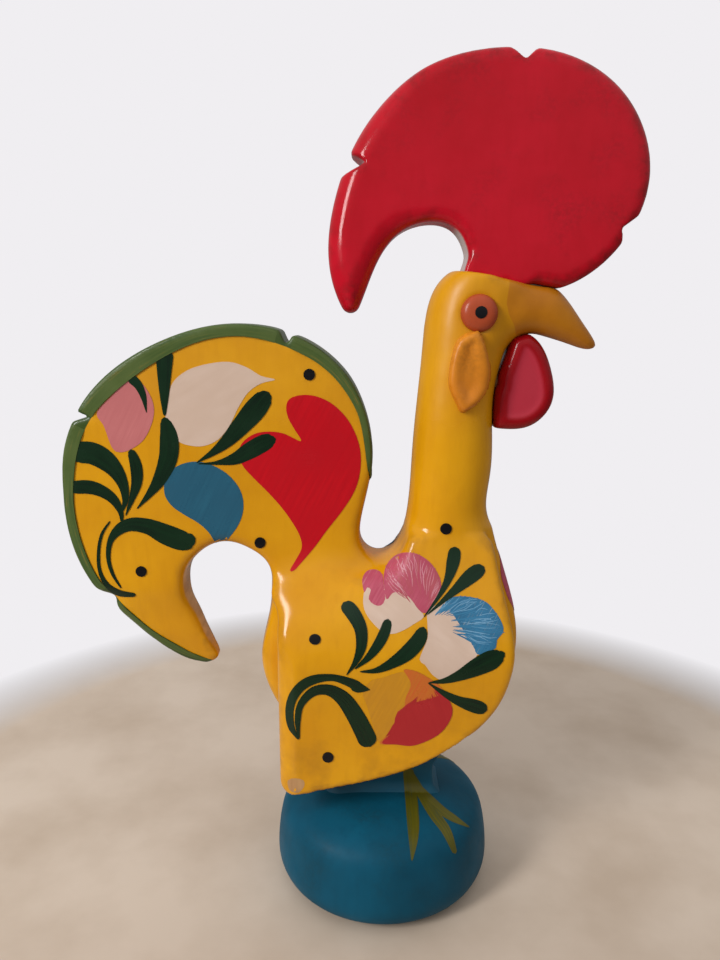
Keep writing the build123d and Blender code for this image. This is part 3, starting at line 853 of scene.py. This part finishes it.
wattle_room, wattle_field, wattle_outline = carve_wattle()
wattle_points, wattle_quads, wattle_normals = wattle_room.surface(wattle_field)
wattle = add_piece(
    "painted_wattle", wattle_points, wattle_quads, wattle_red, wattle_normals, "wattle"
)
# Middle of the wattle's dish painted lighter and pinker: a painted reflection
wattle_inside = -wattle_room.sample(wattle_outline, wattle_points)
add_values(wattle, "bare", smoothstep(WATTLE_BORDER + 0.4, WATTLE_BORDER + 2.0, wattle_inside))


# Turned base with a soft shoulder
def turned(profile, count):
    """A closed turning from rows of radius and height, from the top's middle to the bottom's."""
    line = smooth_line(profile, 1.2)
    points = [(0, 0, line[0][1]), (0, 0, line[-1][1])]
    for radius, height in line[1:-1]:
        for turn in np.arange(count) * math.tau / count:
            points.append((radius * math.cos(turn), radius * math.sin(turn), height))
    faces = []
    rings = len(line) - 2
    for i in range(count):
        j = (i + 1) % count
        faces.append([0, 2 + i, 2 + j])
        faces.append([1, 2 + (rings - 1) * count + j, 2 + (rings - 1) * count + i])
        for ring in range(rings - 1):
            a = 2 + ring * count
            faces.append([a + i, a + count + i, a + count + j, a + j])
    return np.array(points), faces


base_points, base_faces = turned(BASE_PROFILE, BASE_SIDES)
base_points[:, 0] += BASE_X
base = add_piece("painted_base", base_points, base_faces, blue, node="base")
base_tree = BVHTree.FromPolygons(base_points.tolist(), base_faces)
add_values(base, "edge", np.zeros(len(base_points)))


# Paint laid on the carved skin
def onto(depth, *trees):
    """A way to lay a drawing on meshes, as seen from the painter's eye on a sheet at some depth."""

    def cast(x, z, side):
        eye = Vector((EYE[0], side * EYE[1], EYE[2]))
        sheet = Vector((x, side * depth, z))
        hits = [tree.ray_cast(eye, sheet - eye) for tree in trees]
        hits = [hit for hit in hits if hit[0] is not None] or [trees[0].find_nearest(sheet)]
        return min(hits, key=lambda hit: (hit[0] - eye).length)[:2]

    return cast


on_tail = onto(BOARD_HALF, skin_tree)
on_body = onto(26.0, skin_tree)
on_neck = onto(18.0, skin_tree)
on_head = onto(14.5, skin_tree)
on_leg = (np.abs(skin_points[:, 1]) < BOARD_HALF + 0.8) | (skin_points[:, 2] < LEG_TOP)
leg_quads = skin_quads[on_leg[skin_quads].all(axis=1)]
leg_tree = BVHTree.FromPolygons(skin_points.tolist(), leg_quads.tolist())
on_base = onto(30.0, base_tree, leg_tree)


def on_breast(y, z, side):
    """The way to lay a drawing on the breast, seen from the front."""
    return skin_tree.ray_cast(Vector((120, y, z)), Vector((-1, 0, 0)))[:2]


def within(rim, x, z):
    """Whether a point is inside a closed outline."""
    ahead = np.roll(rim, -1, axis=0)
    crosses = (rim[:, 1] > z) != (ahead[:, 1] > z)
    lean = (ahead[:, 0] - rim[:, 0]) * (z - rim[:, 1]) / (ahead[:, 1] - rim[:, 1] + 1e-12)
    return np.count_nonzero(crosses & (x < rim[:, 0] + lean)) % 2 == 1


class Coat:
    """One colour of paint: thin closed sheets that follow the skin."""

    def __init__(self, name, material, slot, lift):
        self.name = name
        self.material = material
        self.slot = slot
        self.lift = lift
        self.points = []
        self.normals = []
        self.faces = []
        self.strokes = []

    def sheet(self, rows, faces):
        """A closed sheet over rows of place, normal, height and stroke: a top, an underside and a wall."""
        places, normals, heights, strokes = zip(*rows)
        turn = 0.0
        for face in faces:
            a, b, c = (places[i] for i in face[:3])
            turn += (b - a).cross(c - a).dot(normals[face[0]])
        if turn <= 0:
            faces = [face[::-1] for face in faces]
        start = len(self.points)
        count = len(places)
        for place, normal, height in zip(places, normals, heights):
            self.points.append(place + normal * height)
            self.normals.append(normal)
        for place, normal in zip(places, normals):
            self.points.append(place - normal * COAT_ROOT)
            self.normals.append(-normal)
        self.strokes += strokes * 2
        border = {}
        for face in faces:
            self.faces.append([start + i for i in face])
            self.faces.append([start + count + i for i in reversed(face)])
            for a, b in zip(face, face[1:] + face[:1]):
                if (b, a) in border:
                    del border[b, a]
                else:
                    border[a, b] = True
        for a, b in border:
            self.faces.append([start + b, start + a, start + count + a, start + count + b])

    def stroke(self, line, side, cast, step=0.6, columns=7):
        """A brush stroke along rows of x, z and width."""
        line = smooth_line(line, step)
        steps = np.linalg.norm(np.diff(line[:, :2], axis=0), axis=1)
        along = np.concatenate([[0], np.cumsum(steps)])
        widths = np.maximum(line[:, 2], 0.25)
        for run, end in ((along, widths[0]), (along[-1] - along, widths[-1])):
            depth = np.minimum(run, end / 2)
            cap = 2 * np.sqrt(np.maximum(depth * (end - depth), 0.004))
            widths = np.where(run > end / 2, widths, np.minimum(widths, cap))
        slope = np.gradient(line[:, :2], axis=0)
        slope /= np.linalg.norm(slope, axis=1)[:, None] + 1e-9
        shift = rng.uniform(0, 500)
        rows = []
        for (x, z), (dx, dz), width, run in zip(line[:, :2], slope, widths, along):
            for share in np.linspace(-1, 1, columns):
                reach = share * width / 2
                height = self.lift + COAT * (1 - 0.7 * share ** 4)
                stroke = (run / 10 + shift, share, shift)
                rows.append((*cast(x - dz * reach, z + dx * reach, side), height, stroke))
        self.sheet(rows, lattice(len(line), columns))

    def film(self, gap):
        """Height of a patch of paint at some distance inside its border."""
        return self.lift + COAT * (1.0 if gap > 0.2 else 0.6)

    def blob(self, outline, side, cast, step=1.0, inner=1.8, brush=0.0, shape=None):
        """A filled patch inside an outline of x and z; shape gives its height from its border inwards."""
        shape = shape or self.film
        rim = smooth_line(outline, step, closed=True)
        ahead = np.roll(rim, -1, axis=0)
        if (rim[:, 0] * ahead[:, 1] - rim[:, 1] * ahead[:, 0]).sum() < 0:
            rim = rim[::-1]
        low, high = rim.min(axis=0), rim.max(axis=0)
        dots = [tuple(point) for point in rim]
        for i, x in enumerate(np.arange(low[0], high[0], inner)):
            for z in np.arange(low[1], high[1], inner) + (i % 2) * inner / 2:
                near = np.min(np.hypot(rim[:, 0] - x, rim[:, 1] - z)) < 0.6 * inner
                if not near and within(rim, x, z):
                    dots.append((x, z))
        loop = list(range(len(rim)))
        flat, _, triangles, _, _, _ = delaunay_2d_cdt([Vector(dot) for dot in dots], [], [loop], 1, 1e-4)
        rows = []
        for x, z in flat:
            gap = np.min(np.hypot(rim[:, 0] - x, rim[:, 1] - z))
            along = x * math.cos(brush) + z * math.sin(brush)
            across = z * math.cos(brush) - x * math.sin(brush)
            rows.append((*cast(x, z, side), shape(gap), (along / 10, across / 6, 0)))
        self.sheet(rows, [list(triangle) for triangle in triangles])

    def dot(self, x, z, side, cast):
        """A round dot."""
        turns = np.arange(12) * math.tau / 12
        outline = [(x + DOT_RADIUS * math.cos(t), z + DOT_RADIUS * math.sin(t)) for t in turns]
        self.blob(outline, side, cast, step=0.6, inner=0.9)

    def fan(self, root, rim, side, count, width, start, end):
        """Thin streaks of a spread brush on the body, from near a root towards a rim."""
        line = smooth_line(rim, 0.5)
        root = np.array(root)
        for _ in range(count):
            target = line[rng.integers(len(line))][:2]
            reach = target - root
            bow = np.array((-reach[1], reach[0])) * rng.uniform(-0.06, 0.06)
            first = root + reach * rng.uniform(*start)
            last = root + reach * rng.uniform(*end)
            middle = (first + last) / 2 + bow
            thick = width * rng.uniform(0.6, 1.5)
            rows = [(*first, 0.3), (*middle, thick), (*last, thick * 0.5)]
            self.stroke(rows, side, on_body, step=2.2, columns=3)

    def finish(self, carved=False):
        """Makes the object; a carved one takes its shading from its own shape."""
        normals = None if carved else [tuple(normal) for normal in self.normals]
        points = [tuple(point) for point in self.points]
        piece = add_piece(self.name, points, self.faces, self.material, normals)
        values = piece.data.attributes.new("stroke", "FLOAT_VECTOR", "POINT")
        values.data.foreach_set("vector", np.array(self.strokes, np.float32).ravel())
        return piece


# Leaves, petals, hearts and dots, in millimetres along X and Z of the shared frame
TAIL_LEAVES = [
    [(-75.6, 205.2, 6.3), (-76.2, 198.0, 5.0), (-76.6, 189.7, 3.2), (-76.9, 182.4, 0.9)],
    [(-77.1, 181.9, 2.8), (-75.8, 174.9, 6.3), (-76.5, 167.4, 6.5), (-79.9, 159.8, 4.7), (-84.0, 154.2, 2.4),
     (-88.6, 149.0, 0.3)],
    [(-89.5, 170.5, 2.6), (-88.0, 164.6, 4.2), (-88.1, 158.8, 3.8), (-90.2, 152.6, 2.1), (-92.8, 146.5, 0.3)],
    [(-111.2, 169.2, 7.0), (-104.0, 169.3, 7.9), (-99.1, 166.9, 7.5), (-95.2, 162.7, 5.6),
     (-92.9, 157.4, 3.6), (-92.6, 152.1, 2.1), (-94.1, 147.7, 0.6)],
    [(-112.0, 156.8, 4.6), (-105.0, 156.9, 4.9), (-99.9, 155.0, 4.2), (-96.4, 151.9, 3.3),
     (-94.5, 147.7, 1.9), (-94.3, 144.0, 0.8)],
    [(-68.2, 138.2, 5.0), (-72.6, 137.2, 7.4), (-78.6, 139.4, 7.6), (-84.7, 142.3, 5.9),
     (-90.8, 143.2, 4.9), (-95.5, 141.3, 3.8), (-99.0, 136.9, 2.1), (-100.1, 130.4, 1.5),
     (-98.9, 124.4, 1.2), (-96.2, 119.1, 0.5)],
    [(-98.6, 144.4, 0.6), (-101.9, 139.4, 1.0), (-103.5, 132.9, 1.1), (-103.6, 125.9, 1.3),
     (-101.4, 120.5, 1.9), (-97.1, 117.3, 2.3), (-91.0, 116.4, 1.4)],
    [(-66.5, 165.8, 0.3), (-60.8, 169.3, 2.3), (-55.5, 173.5, 4.5), (-50.2, 179.1, 6.5), (-44.9, 185.1, 7.5),
     (-40.4, 190.6, 5.0)],
    [(-65.9, 165.4, 0.3), (-59.5, 165.7, 1.4), (-52.9, 167.2, 4.2), (-47.2, 170.3, 6.0), (-42.0, 173.1, 5.8),
     (-38.3, 174.3, 3.2)],
    [(-88.2, 195.8, 3.6), (-85.4, 192.9, 2.9), (-83.8, 188.8, 2.0), (-83.1, 183.5, 0.3)],
]
BODY_LEAVES = [
    [(23.2, 140.2, 3.8), (22.7, 134.9, 4.4), (21.1, 128.5, 2.7), (18.0, 122.3, 1.4), (13.2, 115.0, 0.3)],
    [(33.2, 133.2, 4.6), (28.9, 129.8, 5.3), (23.8, 124.9, 3.2), (19.1, 120.4, 1.5), (14.4, 115.9, 0.3)],
    [(-14.5, 120.3, 4.8), (-11.3, 116.4, 5.1), (-8.6, 110.7, 4.4), (-8.4, 104.1, 3.6), (-10.4, 98.3, 2.0),
     (-13.5, 93.5, 0.3)],
    [(0.9, 114.3, 2.8), (-0.2, 109.8, 3.7), (-2.4, 105.0, 3.7), (-5.9, 100.1, 2.5), (-10.6, 95.7, 0.4)],
    [(13.1, 111.4, 3.1), (11.4, 106.5, 5.3), (7.5, 101.7, 5.5), (2.2, 97.8, 3.8), (-3.2, 95.2, 2.0),
     (-8.8, 94.7, 0.4)],
    [(41.5, 101.8, 3.0), (37.1, 99.3, 7.2), (31.8, 96.4, 6.5), (26.0, 93.3, 4.0), (20.7, 91.3, 2.0),
     (15.2, 90.6, 0.4)],
    [(36.1, 80.1, 4.4), (31.4, 81.7, 5.0), (26.3, 83.5, 3.6), (21.3, 86.2, 2.2), (15.0, 90.6, 0.4)],
    [(-30.8, 68.7, 0.6), (-33.3, 74.2, 2.3), (-33.4, 81.7, 2.9), (-30.7, 87.8, 3.4), (-25.7, 91.5, 3.4),
     (-18.5, 92.5, 2.5), (-11.8, 90.4, 3.4), (-9.5, 88.8, 4.0), (-5.3, 87.9, 0.4)],
    [(-30.5, 68.9, 0.5), (-30.9, 75.7, 2.0), (-29.7, 82.2, 2.5), (-25.3, 87.1, 3.4), (-19.9, 87.8, 4.1),
     (-14.9, 84.7, 5.4), (-10.9, 78.7, 6.2), (-7.7, 72.2, 6.6), (-5.1, 65.9, 6.8)],
]
TAIL_PINK = [(-100.4, 183.5), (-94.3, 189.9), (-88.4, 195.6), (-84.4, 193.8), (-81.5, 189.3), (-80.5, 184.7),
             (-81.6, 179.6), (-84.7, 174.0), (-89.5, 170.5), (-93.6, 169.5), (-96.0, 171.2), (-98.3, 178.7)]
TAIL_WHITE = [(-38.1, 194.9), (-42.9, 193.6), (-47.5, 190.5), (-51.2, 185.1), (-54.3, 179.1), (-58.2, 174.3),
              (-63.0, 171.9), (-67.6, 171.7), (-72.2, 173.1), (-75.7, 176.3), (-76.7, 181.5), (-75.4, 187.9),
              (-73.5, 193.8), (-68.2, 198.1), (-60.9, 200.3), (-53.6, 200.9), (-47.7, 199.0), (-42.8, 196.1)]
TAIL_BLUE = [(-78.4, 157.9), (-77.0, 161.0), (-74.1, 164.1), (-69.8, 165.8), (-65.1, 166.0), (-60.5, 164.6),
             (-55.9, 161.7), (-52.3, 157.4), (-50.6, 152.6), (-50.9, 147.2), (-53.3, 141.8), (-58.3, 136.0),
             (-60.9, 136.4), (-63.4, 140.4), (-67.0, 143.8), (-71.6, 146.7), (-75.7, 149.7), (-78.2, 153.5)]
TAIL_HEART = [(-29.5, 173.4), (-31.7, 177.6), (-33.7, 181.3), (-34.5, 185.1), (-33.4, 188.1), (-29.7, 189.5),
              (-24.7, 189.3), (-19.2, 187.0), (-14.1, 182.4), (-10.5, 176.3), (-8.6, 169.3), (-8.9, 161.7),
              (-11.0, 155.0), (-15.2, 148.2), (-20.5, 141.3), (-25.3, 134.6), (-29.2, 129.9), (-32.7, 125.9),
              (-34.3, 125.9), (-32.1, 129.9), (-29.9, 134.4), (-30.5, 138.9), (-33.3, 144.3), (-37.4, 150.2),
              (-42.0, 155.5), (-46.6, 160.3), (-50.2, 164.6), (-51.5, 168.4), (-51.1, 171.2), (-49.0, 174.0),
              (-45.2, 176.2), (-40.5, 176.8), (-35.5, 176.1)]
BODY_PINK = [(-0.7, 129.4), (0.5, 134.0), (3.1, 136.9), (6.6, 138.1), (10.9, 137.4), (15.1, 134.4),
             (18.1, 129.6), (18.8, 125.2), (16.9, 120.3), (13.7, 116.4), (11.2, 117.8), (8.6, 121.5),
             (5.4, 123.9), (2.4, 123.7), (0.2, 121.5)]
BODY_PINK_SMALL = [(-8.0, 128.5), (-6.4, 131.5), (-3.4, 132.0), (-1.2, 130.3), (-0.7, 126.6), (-0.2, 121.5),
                   (-1.6, 119.2), (-3.8, 119.4), (-5.8, 121.5), (-5.1, 124.8), (-6.4, 125.7), (-7.3, 123.9)]
BODY_WHITE = [
    [(-7.7, 120.1), (-7.3, 124.3), (-5.8, 126.2), (-0.7, 126.6), (2.8, 125.7), (8.5, 122.0), (11.7, 117.8),
     (13.1, 115.0), (10.0, 112.6), (6.5, 110.3), (3.0, 108.9), (-0.6, 109.3), (-4.2, 112.6), (-6.8, 116.4)],
    [(14.4, 116.4), (17.0, 119.2), (20.9, 121.1), (25.7, 120.1), (30.4, 113.6), (33.7, 106.5), (32.1, 101.2),
     (29.1, 97.4), (24.7, 93.5), (20.2, 91.5), (16.6, 93.5), (13.8, 97.4), (12.0, 99.3), (14.5, 107.0),
     (14.5, 111.7)],
]
BODY_BLUE = [(20.4, 120.6), (23.9, 122.4), (29.2, 122.2), (34.1, 120.6), (37.3, 117.3), (39.7, 113.6),
             (40.7, 109.8), (38.6, 106.5), (38.3, 103.6), (35.2, 102.2), (32.1, 101.2), (29.7, 105.5),
             (26.5, 110.7), (23.2, 115.9)]
BODY_RED = [(6.5, 95.4), (10.7, 94.9), (15.3, 92.3), (19.4, 89.1), (22.2, 84.7), (23.9, 80.2), (22.9, 75.7),
            (19.8, 71.2), (15.3, 68.2), (9.8, 66.2), (4.3, 66.7), (-1.7, 67.2), (3.3, 72.7), (6.4, 78.7),
            (7.3, 84.7), (9.0, 89.6), (8.1, 92.5)]
RED_FILL = [(20.8, 86.2), *BODY_RED[4:11], (-0.9, 67.4), (3.3, 72.2), (6.2, 77.6), (7.2, 81.6), (11.0, 83.2),
            (16.0, 84.6)]
BODY_OCHRE = [(-5.0, 91.1), (-0.5, 92.5), (5.8, 94.5), (10.3, 92.5), (10.0, 84.7), (7.8, 78.7), (4.2, 72.2),
              (-1.7, 67.7), (-4.0, 73.7), (-6.3, 81.7), (-7.7, 86.6)]
TAIL_DOTS = [(-26.3, 196.6), (-44.9, 136.4), (-88.5, 125.5)]
BODY_DOTS = [(-24.4, 106.8), (-20.3, 61.6)]
NECK_DOT = (21.0, 144.2)
FAN_TOP = (12.8, 115.0)
FAN_SIDE = (14.6, 112.5)
FAN_LOW = (15.0, 90.6)
BREAST_HALF = [(0, 132), (4.4, 129.8), (7.0, 125), (7.3, 119), (6.6, 113), (3.4, 108.5), (0, 107)]
BREAST_PETAL = BREAST_HALF + [(-y, z) for y, z in BREAST_HALF[-2:0:-1]]
TOES = [
    [(8.2, 60.0, 3.8), (10.0, 42.7, 4.5), (10.5, 32.3, 3.6), (10.1, 22.3, 0.5)],
    [(8.6, 58.0, 3.0), (17.0, 42.7, 3.7), (22.3, 34.6, 3.4), (25.8, 25.3, 1.6)],
    [(9.0, 55.0, 3.0), (19.5, 43.9, 3.2), (24.7, 39.8, 2.8), (30.6, 36.1, 0.5)],
]
LOBE = [(28.8, 211.3), (31.6, 210.3), (33.3, 205.7), (34.5, 198.8), (33.7, 192.4), (30.8, 187.3),
        (26.0, 184.1), (23.7, 187.3), (21.4, 192.4), (21.1, 196.9), (22.0, 203.2), (24.1, 208.8)]
LOBE_EDGE = 0.2
LOBE_BORDER = 2.2
LOBE_RISE = 2.6
LOBE_DISH = 1.5
LOBE_HOLLOW = (2.0, 5.6)
PUPIL = (31.1, 217.4)
CHIP = [(-34.8, 52.3), (-32.1, 53.1), (-29.3, 52.3), (-29.0, 50.0), (-31.1, 47.4), (-34.2, 48.3)]


def rim_band():
    """Green band along the tail's rim, over its edge and a little way onto both faces."""
    coat = Coat("tail_rim", rim_green, "blue_paint", 0.0)
    line = smooth_line(TAIL_RIM, 1.1)
    slope = np.gradient(line[:, :2], axis=0)
    slope /= np.linalg.norm(slope, axis=1)[:, None]
    runs = [[]]
    for (x, z, width), (dx, dz) in zip(line, slope):
        notches = [notch for notch in TAIL_NOTCHES if math.dist((x, z), notch[0]) < NOTCH_REACH]
        if any(wedge(x, z, *notch) < RIM_CLEAR for notch in notches):
            runs.append([])
        else:
            runs[-1].append((x, z, width, -dz, dx))
    wall = [(0.0, y) for y in RIM_WALL]
    for run in filter(None, runs):
        rows = []
        for i, (x, z, width, inx, inz) in enumerate(run):
            face = [(width * share, -BOARD_HALF) for share in RIM_FACE]
            ring = face + wall + [(inset, -y) for inset, y in reversed(face)]
            back = max(width, 1.0)
            heart = Vector((x + inx * back, 0, z + inz * back))
            for k, (inset, y) in enumerate(ring):
                ray = Vector((inx * (inset - back), y, inz * (inset - back))).normalized()
                on_face = k < len(face) - 1 or k > len(face) + len(wall)
                thick = OVER_LEAVES if on_face else COAT
                height = thick * min(1.0, RIM_END + RIM_SWELL * min(i, len(run) - 1 - i))
                hit = skin_tree.ray_cast(heart + ray * RAY_START, -ray)
                rows.append((*hit[:2], height, (i / 10, k / 3, 0)))
        coat.sheet(rows, lattice(len(run), 2 * len(face) + len(wall)))
    coat.finish()


def lobe_height(gap):
    """Ear lobe: a rounded border round a dished middle."""
    rise = 1 - (1 - min(gap / LOBE_BORDER, 1.0)) ** 2
    return LOBE_EDGE + LOBE_RISE * math.sqrt(rise) - LOBE_DISH * float(smoothstep(*LOBE_HOLLOW, gap))


def decorate(side, label, warm, cool):
    """Paints one face of the ornament; warm and cool are the sets of paints of its petals."""
    leaves = Coat(f"leaves_{label}", leaf_green, "blue_paint", 0.24)
    for line in TAIL_LEAVES:
        leaves.stroke(line, side, on_tail)
    for line in BODY_LEAVES:
        leaves.stroke(line, side, on_body)
    leaves.finish()
    white = Coat(f"petals_white_{label}", petal_white, "yellow_paint", 0.02)
    white.blob(TAIL_WHITE, side, on_tail, brush=0.5)
    for outline in BODY_WHITE:
        white.blob(outline, side, on_body, brush=2.4)
    white.finish()
    for name, material, slot, lift, outlines, cast in (
        ("heart", heart_red, "red_paint", 0.06, [TAIL_HEART], on_tail),
        ("tail_petal_warm", warm["tail"], warm["slot"], 0.06, [TAIL_PINK], on_tail),
        ("tail_petal_cool", cool["tail"], cool["slot"], 0.06, [TAIL_BLUE], on_tail),
        ("petals_warm", warm["petal"], warm["slot"], 0.08, [BODY_PINK, BODY_PINK_SMALL], on_body),
        ("petal_cool", cool["petal"], cool["slot"], 0.08, [BODY_BLUE], on_body),
        ("petal_ochre", dry_ochre, "ochre_paint", 0.0, [BODY_OCHRE], on_body),
        ("petal_red", petal_red, "orange_paint", 0.08, [BODY_RED], on_body),
        ("chip", wood, "bare_wood", 0.0, [CHIP], on_body),
    ):
        coat = Coat(f"{name}_{label}", material, slot, lift)
        for outline in outlines:
            coat.blob(outline, side, cast, brush=1.1)
        coat.finish()
    for name, paints, root, rim in (
        ("warm", warm, FAN_TOP, BODY_PINK[0:8]),
        ("cool", cool, FAN_SIDE, BODY_BLUE[0:9]),
    ):
        streaks = Coat(f"streaks_{name}_{label}", paints["streak"], paints["slot"], 0.12)
        streaks.fan(root, rim, side, 60, 0.7, (0.32, 0.66), (0.9, 1.03))
        streaks.finish()
        streaks = Coat(f"streaks_pale_{name}_{label}", paints["pale"], "yellow_paint", 0.16)
        streaks.fan(root, rim, side, 30, 0.3, (0.4, 0.75), (0.86, 0.99))
        streaks.finish()
    streaks = Coat(f"streaks_red_{label}", streak_red, "red_paint", 0.14)
    streaks.blob(RED_FILL, side, on_body, brush=1.9)
    streaks.fan(FAN_LOW, BODY_RED[4:13], side, 90, 1.0, (0.22, 0.42), (0.6, 0.9))
    streaks.finish()
    dots = Coat(f"dots_{label}", ink_black, "blue_paint", 0.30)
    for x, z in TAIL_DOTS:
        dots.dot(x, z, side, on_tail)
    for x, z in BODY_DOTS:
        dots.dot(x, z, side, on_body)
    dots.dot(*NECK_DOT, side, on_neck)
    dots.finish()
    toes = Coat(f"toes_{label}", toe_olive, "yellow_paint", 0.05)
    for line in TOES:
        toes.stroke(line, side, on_base)
    toes.finish()
    pupil = Coat(f"pupil_{label}", ink_black, "blue_paint", 0.1)
    eye_tree = BVHTree.FromPolygons(*(array.tolist() for array in node_arrays(f"eye_{label}")))
    pupil.dot(*PUPIL, side, onto(16.0, eye_tree))
    pupil.finish()
    lobe = Coat(f"ear_{label}", lobe_ochre, "ochre_paint", 0.0)
    lobe.blob(LOBE, side, on_head, step=0.6, inner=0.8, shape=lobe_height)
    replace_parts(lobe.finish(carved=True), f"earlobe_{label}")


PINKS = {
    "slot": "red_paint", "petal": body_pink, "streak": streak_pink, "pale": pale_pink, "tail": petal_pink,
}
BLUES = {
    "slot": "blue_paint", "petal": sky_blue, "streak": streak_blue, "pale": pale_blue, "tail": petal_blue,
}
rim_band()
decorate(RIGHT, "right", PINKS, BLUES)
decorate(LEFT, "left", BLUES, PINKS)
breast = Coat("breast_petal", body_pink, "red_paint", 0.14)
breast.blob(BREAST_PETAL, RIGHT, on_breast)
breast.finish()


# Light: one soft window, and a plain sky that is brighter high up and in front
WINDOW = (-0.735, -0.61, 0.60)
WINDOW_AT = (0, 0, 0.16)
WINDOW_SIZE = (0.22, 0.50)
WINDOW_POWER = 7.3
SKY_LOW = 0.20
SKY_HIGH = 0.68
SKY_FRONT = 1.3
WALL = linear((240, 238, 241))
lamp = bpy.data.lights.new("window", "AREA")
lamp.shape = "RECTANGLE"
lamp.size, lamp.size_y = WINDOW_SIZE
lamp.energy = WINDOW_POWER
holder = bpy.data.objects.new("window", lamp)
bpy.context.scene.collection.objects.link(holder)
holder.location = WINDOW
holder.rotation_euler = (Vector(WINDOW_AT) - Vector(WINDOW)).to_track_quat("-Z", "Y").to_euler()

# Pale floor, painted darker towards the camera as painted shade, that fades into the wall
bpy.ops.mesh.primitive_plane_add(size=4)
floor = bpy.context.object
floor.name = "floor"
stone = Paint("pale_floor")
marble = stone.mix(stone.ramp(stone.noise(16, 5), 0.4, 0.7), linear((212, 194, 176)), linear((194, 174, 154)))
# Painted shade: the floor's colour darkens towards the camera
near = stone.ramp(stone.axis("Y"), -0.02, -0.16, 0.0, 0.8)
marble = stone.mix(near, marble, linear((184, 164, 146)))
far = stone.add("VectorMath", operation="LENGTH")
stone.join(far.inputs[0], stone.place())
beyond = stone.ramp(far.outputs["Value"], 0.22, 0.28)
stone.feed(stone.shader, Base_Color=stone.mix(beyond, marble, linear((120, 116, 112))), Roughness=0.5)
white = stone.add("Emission")
stone.feed(white, Color=WALL)
seen_far = stone.times(beyond, stone.add("LightPath").outputs["Is Camera Ray"])
stone.blend(seen_far, stone.shader, white, "Material Output")
floor.data.materials.append(stone.material)

world = bpy.data.worlds.new("studio")
bpy.context.scene.world = world
sky = Nodes(world)
rise = sky.ramp(sky.axis("Z", "Generated"), -0.1, 0.7, SKY_LOW, SKY_HIGH)
facing = sky.axis("Y", "Generated")
facing = sky.ramp(facing, -0.3, -1.0, 1.0, SKY_FRONT, interpolation_type="SMOOTHSTEP")
fill = sky.tree.nodes["Background"]
sky.feed(fill, Color=(1, 1, 1, 1), Strength=sky.times(rise, facing))
wall = sky.add("Background")
sky.feed(wall, Color=WALL)
sky.blend(sky.add("LightPath").outputs["Is Camera Ray"], fill, wall, "World Output")

# Camera and sizes
LENS = 27.56
TILT = 78.3
camera = bpy.data.cameras.new("camera")
camera.lens = LENS
camera.sensor_width = 36
camera.clip_start = 0.01
view = bpy.data.objects.new("camera", camera)
view.location = (EYE[0] * MM, RIGHT * EYE[1] * MM, EYE[2] * MM)
view.rotation_euler = (math.radians(TILT), 0, 0)
bpy.context.scene.collection.objects.link(view)
bpy.context.scene.camera = view
bpy.context.scene.view_settings.view_transform = "Standard"
